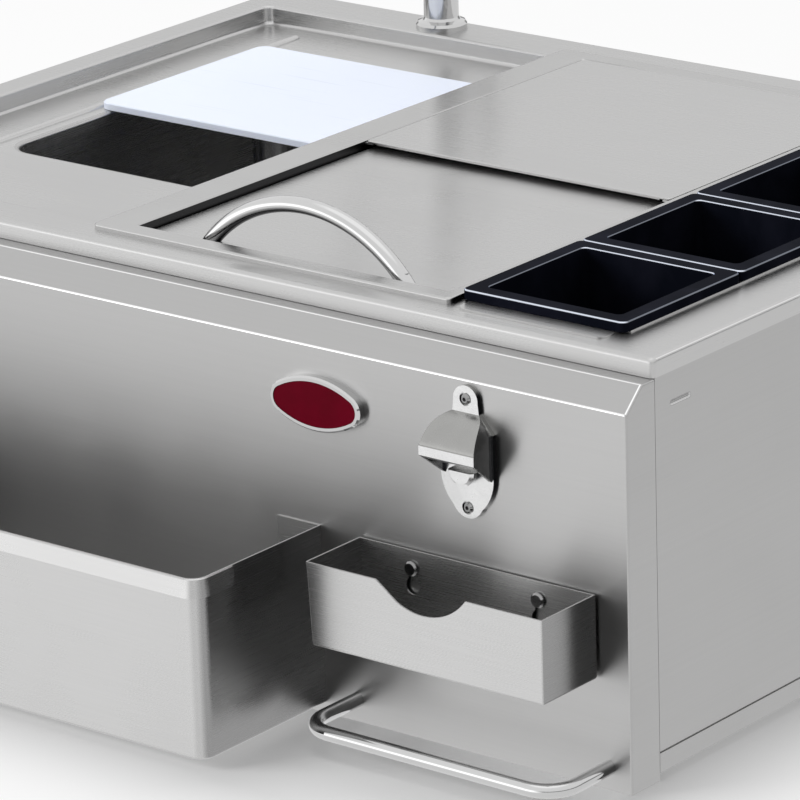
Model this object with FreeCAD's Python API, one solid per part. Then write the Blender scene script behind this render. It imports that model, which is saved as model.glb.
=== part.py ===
import FreeCAD, Part

import math
import os

from FreeCAD import Vector

# Bar sink with an ice bin: a stainless drop-in bar centre for an outdoor counter.
#
# X runs to the right along the front, Y runs to the back and Z is up, in millimetres.
# Every piece is drawn with Y measured from the face of the front panel. The last step moves
# the pieces back by half the cabinet's depth, so the origin is the middle of the base.

# ---------------------------------------------------------------- overall sizes
CABINET_WIDTH = 762.0          # 30 in over the side panels
CABINET_DEPTH = 595.0          # front panel's face to rear panel's face
DECK_TOP = 275.0               # base to the top of the deck
SHEET = 1.2                    # stainless sheet of the cabinet
TOUCH = 0.3                    # gap under a piece that lifts or slides
SEAM = 0.3                     # gap where two sheets butt
PANEL_TOP = DECK_TOP - 12.5    # the deck's downturned skirt stands on this edge

HALF_WIDTH = CABINET_WIDTH / 2
SIDE_INNER = HALF_WIDTH - SHEET

# ---------------------------------------------------------------- front panel
FACE_TOP = DECK_TOP - 28.0     # where the face turns into the chamfer
CHAMFER_DEPTH = 16.4
LEDGE_TOP = PANEL_TOP - TOUCH
CHEEK_DEPTH = 29.0             # returns at both ends of the face
LEDGE_REACH = 44.0             # how far the ledge runs back under the nose
PANEL_EDGE_RADIUS = 1.5

# ---------------------------------------------------------------- base pan
BASE_CLEAR = 5.0               # pan's underside above the runners' underside
BASE_RIM = 13.0                # upturned rim that shows below the side panels
RUNNER_OFFSET = 290.0          # from the middle runner to each outer one
RUNNER_WIDTH = 34.0
RUNNER_FRONT = 80.0
RUNNER_REAR = 560.0
BASE_LIP_FRONT = 22.0
DRAIN_CUTOUT_RADIUS = 34.0
BIN_CUTOUT_RADIUS = 24.0

# ---------------------------------------------------------------- side and rear panels
GROOVE = SHEET + 0.1           # shadow gap between side panel and base rim
JOGGLE_DEPTH = 10.0            # how far a panel reaches down behind the rim
TAB_REACH = 8.0                # side panel's front tab behind the cheek
TAB_WELD = 45.0                # the tab backs the slot
TAB_FOOT = 26.0
TAB_HEAD = 14.0                # below the panel's top edge
SLOT_LENGTH = 22.0
SLOT_HEIGHT = 4.0
SLOT_FRONT = 44.5
SLOT_Z = DECK_TOP - 32.7
UTILITY_WIDTH = 150.0          # cut-out in the rear panel for the pipes
UTILITY_HEIGHT = 90.0
UTILITY_Z = 115.0
UTILITY_CORNER = 3.0
REAR_RETURN = 16.0             # rear sheet's folded ends beside the side panels

# ---------------------------------------------------------------- deck
NOSE_Y = 27.5                  # the deck's front edge, behind the face
NOSE_RADIUS = 3.0
DECK_CORNER = 4.0
LEFT_RIM = 24.0
RECESS_FRONT = 61.0
RECESS_REAR = 553.0
RECESS_RIGHT = -85.0
RECESS_DEPTH = 14.0
RECESS_CORNER = 7.0
PAN_ROLL = 2.0                 # radius at the top of the recess walls
PAN_FLANGE = 3.5               # welded strip round a drawn pan

# ---------------------------------------------------------------- sink
BOWL_LEFT = -296.0
BOWL_WIDTH = 196.0
BOWL_FRONT = 193.0
BOWL_LENGTH = 282.0
BOWL_DEPTH = 150.0
BOWL_CORNER = 22.0
BOWL_FLOOR_RADIUS = 14.0
BOWL_ROLL = 2.5
BOWL_SHEET = 1.0
DISH_RADIUS = 62.0             # shallow dish that falls to the drain
DISH_FALL = 3.0
DRAIN_HOLE_RADIUS = 23.0
BEAD_LEFT_GAP = 13.5           # board guide bead, left of the bowl
BEAD_RADIUS = 2.5
BEAD_FRONT = 105.0
BEAD_REAR = 530.0

# ---------------------------------------------------------------- sink drain
STRAINER_RADIUS = 28.5
STRAINER_FLANGE = 1.6
DRAIN_BODY_RADIUS = 22.0
DRAIN_BODY_LENGTH = 46.0
DRAIN_WALL = 1.6
GASKET = 3.0                   # thickness of every washer under a nut
TAILPIECE_RADIUS = 19.05       # 1 1/2 in tube
TAILPIECE_WALL = 1.2
TAILPIECE_END = 8.0            # stops above the underside of the cabinet
TAILPIECE_NECK = 0.5           # the tube is this much larger inside the slip nut
TAILPIECE_FLANGE = 2.0
SLIP_LIP = 5.0
SLIP_GRIP = 8.0                # how far the slip nut reaches up the drain body
DRAIN_NUT_HEIGHT = 8.0
WEB_RISE = 12.0                # cross web above the foot of the drain body
WEB_THICKNESS = 3.0
BASKET_RADIUS = 18.0
BASKET_DEPTH = 20.0
KNOB_RADIUS = 5.0

# ---------------------------------------------------------------- ice bin
FRAME_RIGHT = 211.5
FRAME_FRONT = 45.7
FRAME_REAR = 562.0
FRAME_RISE = 4.0
FRAME_LEFT_STRIP = 28.0
FRAME_RIGHT_STRIP = 10.0
FRAME_FRONT_STRIP = 13.3
FRAME_REAR_STRIP = 16.0
FRAME_CORNER = 4.0
FRAME_EDGE = 1.5
FRAME_LIP = 0.8                # bevel round the mouth
MOUTH_CORNER = 2.0
TRACK_DROP = 13.5              # frame's top down to the ledge that carries the sliding lid
TRACK_WIDTH = 12.0
SHELF_DROP = 1.5               # frame's top down to the shelf of the rear lid
SHELF_WIDTH = 7.0
BIN_DEPTH = 150.0
BIN_CORNER = 10.0
BIN_FLOOR_RADIUS = 8.0
BIN_SHEET = 1.0
FOAM = 17.0
BIN_DRAIN_RADIUS = 8.0
BIN_DRAIN_X = 150.0
BIN_DRAIN_Y = 130.0
NIPPLE_RADIUS = 13.35          # 3/4 in pipe
NIPPLE_END = 10.0
NIPPLE_STEP = 2.0              # from the pipe thread in to the neck
NIPPLE_FLANGE = 6.0            # flange beyond the neck, on the bin's floor
BIN_NUT_WIDTH = 34.0
BIN_NUT_HEIGHT = 9.0
FOAM_HOLE = 8.0                # clear round the pipe

# ---------------------------------------------------------------- lids
LID_SIDE_GAP = 1.5
LID_DROP = 6.0                 # sliding lid below the frame's top
LID_FLANGE = TRACK_DROP - LID_DROP - TOUCH
FRONT_LID_LENGTH = 245.5
REAR_LID_FRONT = 296.0
REAR_LID_HEM = 12.0
REAR_LID_HEM_DROP = 1.0
REAR_LID_BEVEL = 0.5
LID_CORNER = 2.5
LID_RADIUS = 1.5
HANDLE_SPAN = 161.0            # between the middles of the feet
HANDLE_RISE = 37.0             # lid to the middle of the bow at the top
HANDLE_RADIUS = 5.4
HANDLE_Y = 72.7
HANDLE_X = 74.4
HANDLE_SCREW_RADIUS = 2.5
HANDLE_HEAD_RADIUS = 5.0
HANDLE_HEAD_HEIGHT = 2.4
HANDLE_SCREW_GRIP = 6.0

# ---------------------------------------------------------------- trays
TRAY_LEFT = 213.0
TRAY_WIDTH = 126.5
TRAY_LENGTH = 124.5
TRAY_PITCH = 125.0
TRAY_FRONT = 55.8
TRAY_COUNT = 4
TRAY_RIM_HEIGHT = 6.8
TRAY_WALL = 1.8
TRAY_DEPTH = 88.0
TRAY_SIDE_RIM = 9.8
TRAY_END_RIM = 9.8
TRAY_DRAFT = 4.5               # how far each wall leans in from rim to floor
TRAY_CORNER = 5.0
TRAY_EDGE = 1.4                # round of the rim's outer edge
TRAY_LIP = 1.0                 # round of the pocket's mouth
POCKET_CORNER = 5.5
WELL_GAP = 1.7                 # tray pocket to the well's wall
WELL_FLANGE = 6.5
WELL_TAB_FRONT = 41.4          # tab that shows in front of the first tray
WELL_TAB_REAR = 8.0
WELL_TAB_CORNER = 6.0
WELL_FLOOR_GAP = 8.0

# ---------------------------------------------------------------- cutting board
BOARD_LENGTH = 183.0
BOARD_FRONT = 305.0
BOARD_THICKNESS = 5.0
BOARD_CORNER = 9.0
BOARD_BEVEL = 0.7
BOARD_GAP = 2.0

# ---------------------------------------------------------------- faucet
FAUCET_X = -207.0
FAUCET_Y = 573.5
FAUCET_BASE_RADIUS = 19.0
FAUCET_BASE_HEIGHT = 7.0
FAUCET_COLUMN_RADIUS = 13.0
FAUCET_COLUMN_HEIGHT = 92.0
FAUCET_VALVE_Z = 60.0
FAUCET_VALVE_RADIUS = 11.5
FAUCET_VALVE_REACH = 27.0
SHANK_RADIUS = 11.0
SHANK_LENGTH = 24.0            # below the deck's top, through washer and nut
FAUCET_NUT_WIDTH = 34.0
FAUCET_NUT_HEIGHT = 8.0
INLET_RADIUS = 10.4            # 1/2 in male thread
INLET_LENGTH = 22.0
SPOUT_RADIUS = 8.0
SPOUT_BORE = 6.2
WATERWAY_RADIUS = 6.0
WATERWAY_RISE = 12.0           # drilled this far above the deck
SPOUT_SOCKET = 22.0            # depth of the spout's seat in the column
SPOUT_COLLAR_RADIUS = 10.5
SPOUT_COLLAR_HEIGHT = 10.0
SPOUT_RISE = 196.0             # deck to the start of the bow
SPOUT_BOW = 62.0
SPOUT_DROP = 34.0
AERATOR_RADIUS = 10.0
AERATOR_HEIGHT = 14.0
LEVER_HUB_RADIUS = 11.5
LEVER_HUB_LENGTH = 14.0
LEVER_LENGTH = 64.0
LEVER_LEAN = 0.18              # sideways lean of the lever, as a slope
STEM_RADIUS = 4.0
STEM_LENGTH = 8.0
STEM_SEAT = 9.0                # depth of the stem's seat in the valve
FIT = 0.1                      # radial clearance of a turning fit

# ---------------------------------------------------------------- things on the front panel
RAIL_RIGHT = 139.0
RAIL_LENGTH = 508.0            # 20 in speed rail
RAIL_DEPTH = 122.5
RAIL_BOTTOM = 7.0
RAIL_HEIGHT = 121.0
RAIL_CORNER = 11.0
RAIL_FOLD = 2.0
RAIL_HEM = 12.5
RAIL_HEM_HEAD = 0.7            # the hem stands this far out of the wall at the lip
RAIL_HEM_FOOT = 2.2            # and this far at its lower edge
RAIL_LIP_BEVEL = 0.7
RAIL_HEM_WRAP = 35.0           # how far it runs back along each end
RAIL_HEM_CLIP = 5.0            # rounded off where it stops
RAIL_PAST = 40.0               # blocks run this far past the back, where they are cut square
RAIL_BACK_FLANGE = 35.0
RAIL_BACK_CURB = 26.0
RAIL_SCREW_INSET = 17.0

PANEL_SCREW_RADIUS = 2.4       # screws of the rail and the opener
PANEL_HEAD_RADIUS = 4.6
PANEL_HEAD_HEIGHT = 2.6
PANEL_SCREW_LENGTH = 12.0

OPENER_X = 260.5
OPENER_TOP = 244.7
OPENER_HEIGHT = 86.5
OPENER_PLATE = 3.0
OPENER_TAB_WIDTH = 20.5
OPENER_SHIELD_WIDTH = 41.0     # the plate below the hood
OPENER_FOOT = 11.0             # half width where the plate's foot turns in
OPENER_SCREW_INSET = 8.8
OPENER_SCREW_PITCH = 70.9
OPENER_HEAD_RADIUS = 3.6
OPENER_SINK_RADIUS = 4.5       # counterbore round each head
OPENER_SINK_DEPTH = 1.6
HOOD_WIDTH = 43.0
HOOD_TOP = 17.5                # opener's top to the fold where the hood starts
HOOD_EAVE = 29.0               # opener's top to the hood's corner at the panel
HOOD_REACH = 23.3              # panel to the hood's lip
HOOD_CREST = 36.5              # opener's top to the lip's upper edge
HOOD_LIP = 6.8
LIP_BEAD = 0.8                 # how far the lip stands proud of the roof
HOOD_FOOT = 59.3               # opener's top to the foot of its cheeks
HOOD_WALL = 2.6
TOOTH_RADIUS = 10.0
TOOTH_REACH = 11.0
TOOTH_TOP = 54.0

CATCHER_LEFT = 172.0
CATCHER_WIDTH = 184.5
CATCHER_TOP = 127.5
CATCHER_HEIGHT = 55.2
CATCHER_DEPTH = 54.3
CATCHER_STANDOFF = 1.7
CATCHER_LEAN = 3.2             # of its left end
CATCHER_FOLD = 1.6
CATCHER_SHEET = 1.2
KEYHOLE_PITCH = 99.3
KEYHOLE_DROP = 12.0            # catcher's top to the middle of the stud
KEYHOLE_TRAVEL = 12.0
KEYHOLE_CLEAR = 0.6            # round the stud's neck
STUD_RADIUS = 2.5
STUD_COLLAR_RADIUS = 4.5
STUD_HEAD_RADIUS = 5.0
STUD_HEAD_HEIGHT = 2.2
STUD_INSIDE = 8.0              # end behind the panel
SCOOP_START = 56.0             # from the catcher's left edge
SCOOP_SLOPE = 16.0             # run of the eased slope
SCOOP_BOTTOM = 43.0            # from its start to its lowest point
SCOOP_END = 126.0
SCOOP_DEPTH = 16.2

TOWEL_PITCH = 199.0
TOWEL_LEFT = 164.8
TOWEL_Z = 15.0
TOWEL_STANDOFF = 55.5
TOWEL_RADIUS = 4.8
TOWEL_BEND = 21.0
TOWEL_INSIDE = 12.0            # threaded end behind the panel
TOWEL_NUT_RADIUS = 8.0
TOWEL_NUT_HEIGHT = 5.0

BADGE_X = 141.7
BADGE_Z = 210.7
BADGE_WIDTH = 73.0
BADGE_HEIGHT = 36.0
BADGE_THICKNESS = 6.0
BADGE_RIM = 3.2
BADGE_RECESS = 1.6
ENAMEL = 1.0

# ---------------------------------------------------------------- sizes that follow
RECESS_LEFT = LEFT_RIM - HALF_WIDTH
RECESS_FLOOR = DECK_TOP - RECESS_DEPTH
BOWL_RIGHT = BOWL_LEFT + BOWL_WIDTH
BOWL_REAR = BOWL_FRONT + BOWL_LENGTH
BOWL_X = (BOWL_LEFT + BOWL_RIGHT) / 2
BOWL_Y = (BOWL_FRONT + BOWL_REAR) / 2
BOWL_FLOOR = RECESS_FLOOR - BOWL_DEPTH
DISH_FLOOR = BOWL_FLOOR - DISH_FALL
DRAIN_UNDERSIDE = DISH_FLOOR - BOWL_SHEET
DRAIN_FOOT = DRAIN_UNDERSIDE - DRAIN_BODY_LENGTH
WEB_TOP = DRAIN_FOOT + WEB_RISE + WEB_THICKNESS
BEAD_X = BOWL_LEFT - BEAD_LEFT_GAP - BEAD_RADIUS
FRAME_TOP = DECK_TOP + FRAME_RISE
FRAME_LEFT = RECESS_RIGHT
MOUTH_LEFT = FRAME_LEFT + FRAME_LEFT_STRIP
MOUTH_RIGHT = FRAME_RIGHT - FRAME_RIGHT_STRIP
MOUTH_FRONT = FRAME_FRONT + FRAME_FRONT_STRIP
MOUTH_REAR = FRAME_REAR - FRAME_REAR_STRIP
TRACK_TOP = FRAME_TOP - TRACK_DROP
BIN_LEFT = MOUTH_LEFT + TRACK_WIDTH
BIN_RIGHT = MOUTH_RIGHT - TRACK_WIDTH
BIN_FRONT = MOUTH_FRONT + TRACK_WIDTH
BIN_REAR = MOUTH_REAR - TRACK_WIDTH
BIN_TOP = TRACK_TOP - SHEET
BIN_FLOOR = BIN_TOP - BIN_DEPTH
BIN_UNDERSIDE = BIN_FLOOR - BIN_SHEET
NIPPLE_NECK = NIPPLE_RADIUS - NIPPLE_STEP
SHELF_TOP = FRAME_TOP - SHELF_DROP
LID_TOP = FRAME_TOP - LID_DROP
LID_LEFT = MOUTH_LEFT + LID_SIDE_GAP
LID_RIGHT = MOUTH_RIGHT - LID_SIDE_GAP
LID_FRONT = MOUTH_FRONT + LID_SIDE_GAP
TRAY_RIGHT = TRAY_LEFT + TRAY_WIDTH
WELL_TOP = DECK_TOP + SHEET
TRAY_TOP = WELL_TOP + TOUCH + TRAY_RIM_HEIGHT
WELL_LEFT = TRAY_LEFT + TRAY_SIDE_RIM - WELL_GAP - SHEET
WELL_RIGHT = TRAY_RIGHT - TRAY_SIDE_RIM + WELL_GAP + SHEET
WELL_FRONT = TRAY_FRONT + TRAY_END_RIM - WELL_GAP - SHEET
WELL_REAR = TRAY_FRONT + TRAY_PITCH * TRAY_COUNT - TRAY_END_RIM + WELL_GAP + SHEET
WELL_FLOOR = TRAY_TOP - TRAY_DEPTH - WELL_FLOOR_GAP
BOARD_LEFT = BEAD_X + BEAD_RADIUS + BOARD_GAP / 2
BOARD_RIGHT = RECESS_RIGHT - BOARD_GAP
BOARD_Z = RECESS_FLOOR + TOUCH
RAIL_LEFT = RAIL_RIGHT - RAIL_LENGTH
RAIL_TOP = RAIL_BOTTOM + RAIL_HEIGHT
CATCHER_BACK = -CATCHER_STANDOFF
STUD_Z = CATCHER_TOP - KEYHOLE_DROP


# ---------------------------------------------------------------- shape helpers
def box(x0, x1, y0, y1, z0, z1):
    """A block between two corners."""
    return Part.makeBox(x1 - x0, y1 - y0, z1 - z0, Vector(x0, y0, z0))


def cylinder(radius, length, start, direction=Vector(0, 0, 1)):
    return Part.makeCylinder(radius, length, start, direction)


def rounded_outline(x0, x1, y0, y1, radius, z):
    """A rectangle with round corners, as a wire on the level z."""
    r = radius
    c = math.sqrt(0.5) * r
    corners = [
        (Vector(x1 - r, y0, z), Vector(x1 - r + c, y0 + r - c, z), Vector(x1, y0 + r, z)),
        (Vector(x1, y1 - r, z), Vector(x1 - r + c, y1 - r + c, z), Vector(x1 - r, y1, z)),
        (Vector(x0 + r, y1, z), Vector(x0 + r - c, y1 - r + c, z), Vector(x0, y1 - r, z)),
        (Vector(x0, y0 + r, z), Vector(x0 + r - c, y0 + r - c, z), Vector(x0 + r, y0, z)),
    ]
    edges = []
    for index, (start, middle, end) in enumerate(corners):
        following = corners[(index + 1) % 4][0]
        edges.append(Part.Arc(start, middle, end).toShape())
        edges.append(Part.LineSegment(end, following).toShape())
    return Part.Wire(edges)


def rounded_block(x0, x1, y0, y1, radius, z0, z1):
    face = Part.Face(rounded_outline(x0, x1, y0, y1, radius, z0))
    return face.extrude(Vector(0, 0, z1 - z0))


def edges_at(shape, level, axis="z", tolerance=0.01):
    """The edges that lie wholly on one level of an axis."""
    low, high = {"x": ("XMin", "XMax"), "y": ("YMin", "YMax"), "z": ("ZMin", "ZMax")}[axis]
    return [
        edge for edge in shape.Edges
        if abs(getattr(edge.BoundBox, low) - level) < tolerance
        and abs(getattr(edge.BoundBox, high) - level) < tolerance
    ]


def capsule_block(x0, x1, y0, y1, corner, z0, z1, top_radius=0.0, floor_radius=0.0):
    """A rounded block whose top or bottom edge is rounded as well."""
    block = rounded_block(x0, x1, y0, y1, corner, z0, z1)
    if floor_radius:
        block = block.makeFillet(floor_radius, edges_at(block, z0))
    if top_radius:
        block = block.makeFillet(top_radius, edges_at(block, z1))
    return block


def polygon_prism(points, axis, start, end):
    """Extrude a closed outline. Its points are (Y, Z) for axis x, or (X, Z) for axis y."""
    if axis == "x":
        corners = [Vector(start, a, b) for a, b in points]
        path = Vector(end - start, 0, 0)
    else:
        corners = [Vector(a, start, b) for a, b in points]
        path = Vector(0, end - start, 0)
    face = Part.Face(Part.makePolygon(corners + corners[:1]))
    return face.extrude(path)


def bend_of(radius, bend, pivot, start, axis, angle):
    """Part of a ring: a round section at start, swept about a pivot."""
    spoke = (start - pivot).normalize()
    section = Part.Face(Part.Wire([Part.makeCircle(radius, pivot + spoke * bend,
                                                   axis.cross(spoke))]))
    return section.revolve(pivot, axis, angle)


def bent_bar(points, bend, radius):
    """A round bar through the points, with every corner bent to one radius."""
    pieces = []
    last = points[0]
    for before, corner, after in zip(points, points[1:], points[2:]):
        into = (corner - before).normalize()
        out = (after - corner).normalize()
        turn = into.getAngle(out)
        reach = bend * math.tan(turn / 2)
        start = corner - into * reach
        end = corner + out * reach
        axis = into.cross(out).normalize()
        pivot = start + axis.cross(into) * bend
        pieces.append(cylinder(radius, (start - last).Length, last, into))
        pieces.append(bend_of(radius, bend, pivot, start, axis, math.degrees(turn)))
        last = end
    out = points[-1] - last
    pieces.append(cylinder(radius, out.Length, last, out))
    return pieces[0].fuse(pieces[1:]).removeSplitter()


def turned(points, centre, axis=Vector(0, 0, 1)):
    """Revolve (radius, height) points about a vertical line through a centre."""
    corners = [Vector(centre.x + r, centre.y, centre.z + h) for r, h in points]
    face = Part.Face(Part.makePolygon(corners + corners[:1]))
    return face.revolve(centre, axis, 360)


def hexagon_nut(across_flats, bore, height, centre, direction):
    """A nut with its bore, standing on its centre point along a direction."""
    circle = across_flats / math.sqrt(3)
    corners = [
        Vector(circle * math.cos(math.radians(60 * i)), circle * math.sin(math.radians(60 * i)), 0)
        for i in range(6)
    ]
    nut = Part.Face(Part.makePolygon(corners + corners[:1])).extrude(Vector(0, 0, height))
    nut = nut.cut(cylinder(bore, height, Vector(0, 0, 0)))
    nut.Placement = FreeCAD.Placement(
        centre, FreeCAD.Rotation(Vector(0, 0, 1), direction))
    return nut


def cone_screw(head_radius, head_height, shank_radius, shank_length, seat, direction):
    """A screw whose bevelled head stands on the seat and whose shank runs the other way."""
    bevel = head_height / 2
    points = [(0, -shank_length), (shank_radius, -shank_length), (shank_radius, 0),
              (head_radius, 0), (head_radius, bevel), (head_radius - bevel, head_height),
              (0, head_height)]
    screw = turned(points, Vector(0, 0, 0))
    socket = [
        Vector(head_radius * 0.42 * math.cos(math.radians(60 * i)),
               head_radius * 0.42 * math.sin(math.radians(60 * i)), bevel)
        for i in range(7)
    ]
    screw = screw.cut(Part.Face(Part.makePolygon(socket)).extrude(Vector(0, 0, head_height)))
    screw.Placement = FreeCAD.Placement(seat, FreeCAD.Rotation(Vector(0, 0, 1), direction))
    return screw


def drawn_pan(x0, x1, y0, y1, corner, top, depth, sheet, roll, floor_radius):
    """A pressed pan: rounded opening, rolled rim in a narrow flange, rounded floor."""
    inside = capsule_block(x0, x1, y0, y1, corner, top - depth, top + 1, 0, floor_radius)
    outside = capsule_block(x0 - sheet, x1 + sheet, y0 - sheet, y1 + sheet, corner + sheet,
                            top - depth - sheet, top, 0, floor_radius + sheet)
    flange = rounded_block(x0 - PAN_FLANGE, x1 + PAN_FLANGE, y0 - PAN_FLANGE, y1 + PAN_FLANGE,
                           corner + PAN_FLANGE, top - sheet, top)
    pan = outside.fuse(flange).cut(inside).removeSplitter()
    rim = [
        edge for edge in edges_at(pan, top)
        if edge.BoundBox.XMin > x0 - 0.01 and edge.BoundBox.XMax < x1 + 0.01
        and edge.BoundBox.YMin > y0 - 0.01 and edge.BoundBox.YMax < y1 + 0.01
    ]
    return pan.makeFillet(roll, rim)


# ---------------------------------------------------------------- cabinet
def front_panel():
    """One sheet folded into face, chamfer and ledge, with cheeks at both ends."""
    profile = [(0, 0), (0, FACE_TOP), (CHAMFER_DEPTH, LEDGE_TOP), (CHEEK_DEPTH, LEDGE_TOP),
               (CHEEK_DEPTH, 0)]
    shell = polygon_prism(profile, "x", -HALF_WIDTH, HALF_WIDTH)
    bends = [
        edge for edge in shell.Edges
        if edge.BoundBox.YMin < CHEEK_DEPTH - 0.1 and edge.BoundBox.ZMax > 0.1
        and not (edge.BoundBox.YMax > CHEEK_DEPTH - 0.1 and edge.BoundBox.ZMax < 0.1)
    ]
    shell = shell.makeFillet(PANEL_EDGE_RADIUS, bends)
    slope = math.atan2(LEDGE_TOP - FACE_TOP, CHAMFER_DEPTH)
    low_corner = FACE_TOP - SHEET * math.tan((math.pi / 2 - slope) / 2)
    high_corner = CHAMFER_DEPTH + SHEET * math.tan(slope / 2)
    inner = [(SHEET, SHEET), (SHEET, low_corner), (high_corner, LEDGE_TOP - SHEET),
             (CHEEK_DEPTH + 1, LEDGE_TOP - SHEET), (CHEEK_DEPTH + 1, SHEET)]
    shell = shell.cut(polygon_prism(inner, "x", -SIDE_INNER, SIDE_INNER))
    reach = SIDE_INNER - 2 * SEAM
    ledge = box(-reach, reach, CHEEK_DEPTH - 1, LEDGE_REACH, LEDGE_TOP - SHEET, LEDGE_TOP)
    upstand = box(-reach, reach, LEDGE_REACH - SHEET, LEDGE_REACH,
                  LEDGE_TOP - SHEET, DECK_TOP - SHEET)
    panel = shell.fuse([ledge, upstand]).removeSplitter()
    for x, z, radius in front_panel_holes():
        panel = panel.cut(cylinder(radius, 10 * SHEET, Vector(x, -2, z), Vector(0, 1, 0)))
    return panel


def front_panel_holes():
    """Middle and radius of every hole in the face."""
    holes = [(x, z, PANEL_SCREW_RADIUS) for x, z in rail_screw_places() + opener_screw_places()]
    holes += [(x, z, STUD_RADIUS) for x, z in stud_places()]
    holes += [(x, TOWEL_Z, TOWEL_RADIUS) for x in towel_ends()]
    return holes


def bent_side_profile(sign):
    """Side sheet with its lower edge stepped in behind the base rim."""
    groove_bottom = BASE_CLEAR + BASE_RIM
    groove_top = groove_bottom + GROOVE
    foot = groove_bottom - JOGGLE_DEPTH
    outline = [(0, PANEL_TOP), (0, groove_top), (SHEET, groove_top - SHEET), (SHEET, foot),
               (2 * SHEET, foot), (2 * SHEET, groove_top), (SHEET, groove_top + SHEET),
               (SHEET, PANEL_TOP)]
    return [(sign * (HALF_WIDTH - inset), z) for inset, z in outline]


def side_panel(sign):
    """A side sheet with its slot, and the front tab that backs it behind the cheek."""
    front = CHEEK_DEPTH + SEAM
    panel = polygon_prism(bent_side_profile(sign), "y", front, CABINET_DEPTH)
    panel = panel.cut(side_slot(sign))
    x_low, x_high = sorted((sign * (SIDE_INNER - SHEET), sign * SIDE_INNER))
    tab = box(x_low, x_high, front - TAB_REACH, front + TAB_WELD, TAB_FOOT, PANEL_TOP - TAB_HEAD)
    corner = box(x_low, x_high, CABINET_DEPTH - SHEET, CABINET_DEPTH, 0,
                 BASE_CLEAR + BASE_RIM + GROOVE + SHEET)
    return panel.fuse(tab).cut(corner).removeSplitter()


def side_slot(sign):
    """The round-ended slot near the front top corner of a side sheet."""
    r = SLOT_HEIGHT / 2
    inward = Vector(-sign, 0, 0)
    start = Vector(sign * (HALF_WIDTH + 1), SLOT_FRONT + r, SLOT_Z)
    end = start + Vector(0, SLOT_LENGTH - SLOT_HEIGHT, 0)
    deep = 1 + SHEET
    x_low, x_high = sorted((start.x, start.x + inward.x * deep))
    middle = box(x_low, x_high, start.y, end.y, SLOT_Z - r, SLOT_Z + r)
    return middle.fuse([cylinder(r, deep, start, inward), cylinder(r, deep, end, inward)])


def rear_panel():
    """The rear sheet between the sides, with folded ends and a cut-out for the pipes."""
    groove_bottom = BASE_CLEAR + BASE_RIM
    groove_top = groove_bottom + GROOVE
    foot = groove_bottom - JOGGLE_DEPTH
    outline = [(0, PANEL_TOP), (0, groove_top), (SHEET, groove_top - SHEET), (SHEET, foot),
               (2 * SHEET, foot), (2 * SHEET, groove_top), (SHEET, groove_top + SHEET),
               (SHEET, PANEL_TOP)]
    points = [(CABINET_DEPTH - inset, z) for inset, z in outline]
    reach = SIDE_INNER - SHEET - SEAM
    panel = polygon_prism(points, "x", -reach, reach)
    for sign in (-1, 1):
        x_low, x_high = sorted((sign * reach, sign * SIDE_INNER))
        panel = panel.fuse(box(x_low, x_high, CABINET_DEPTH - SHEET, CABINET_DEPTH,
                               groove_top + SHEET, PANEL_TOP))
        x_low, x_high = sorted((sign * (SIDE_INNER - SHEET), sign * SIDE_INNER))
        panel = panel.fuse(box(x_low, x_high, CABINET_DEPTH - REAR_RETURN, CABINET_DEPTH,
                               groove_top + SHEET, PANEL_TOP))
    x0 = BOWL_X - UTILITY_WIDTH / 2
    z0 = UTILITY_Z - UTILITY_HEIGHT / 2
    hole = capsule_hole_y(x0, x0 + UTILITY_WIDTH, z0, z0 + UTILITY_HEIGHT, UTILITY_CORNER)
    return panel.cut(hole).removeSplitter()


def capsule_hole_y(x0, x1, z0, z1, radius):
    """A rounded rectangle cut through the rear panel."""
    block = box(x0, x1, CABINET_DEPTH - 5, CABINET_DEPTH + 5, z0, z1)
    upright = [
        edge for edge in block.Edges
        if edge.BoundBox.YLength > 9 and edge.BoundBox.XLength < 0.1
    ]
    return block.makeFillet(radius, upright)


def base_pan():
    """Floor sheet with an upturned rim on three sides and two pressed runners."""
    front = CHEEK_DEPTH + SEAM
    top = BASE_CLEAR + BASE_RIM
    outer = box(-HALF_WIDTH, HALF_WIDTH, front, CABINET_DEPTH, BASE_CLEAR, top)
    hollow = box(-SIDE_INNER, SIDE_INNER, front - 1, CABINET_DEPTH - SHEET,
                 BASE_CLEAR + SHEET, top + 1)
    pan = outer.cut(hollow)
    reach = SIDE_INNER - 2 * SEAM
    tongue = box(-reach, reach, BASE_LIP_FRONT, front, BASE_CLEAR, BASE_CLEAR + SHEET)
    lip = box(-reach, reach, BASE_LIP_FRONT, BASE_LIP_FRONT + SHEET, SHEET, BASE_CLEAR)
    pan = pan.fuse([tongue, lip])
    for x in (-RUNNER_OFFSET, 0, RUNNER_OFFSET):
        x0 = x - RUNNER_WIDTH / 2
        x1 = x + RUNNER_WIDTH / 2
        runner = rounded_block(x0, x1, RUNNER_FRONT, RUNNER_REAR, RUNNER_WIDTH * 0.45,
                               0, BASE_CLEAR + SHEET)
        groove = rounded_block(x0 + SHEET, x1 - SHEET, RUNNER_FRONT + SHEET,
                               RUNNER_REAR - SHEET, RUNNER_WIDTH * 0.45 - SHEET,
                               SHEET, BASE_CLEAR + SHEET + 1)
        pan = pan.fuse(runner).cut(groove)
    for x, y, radius in ((BOWL_X, BOWL_Y, DRAIN_CUTOUT_RADIUS),
                         (BIN_DRAIN_X, BIN_DRAIN_Y, BIN_CUTOUT_RADIUS)):
        pan = pan.cut(cylinder(radius, 2 * top, Vector(x, y, -1)))
    return pan.removeSplitter()


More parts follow.
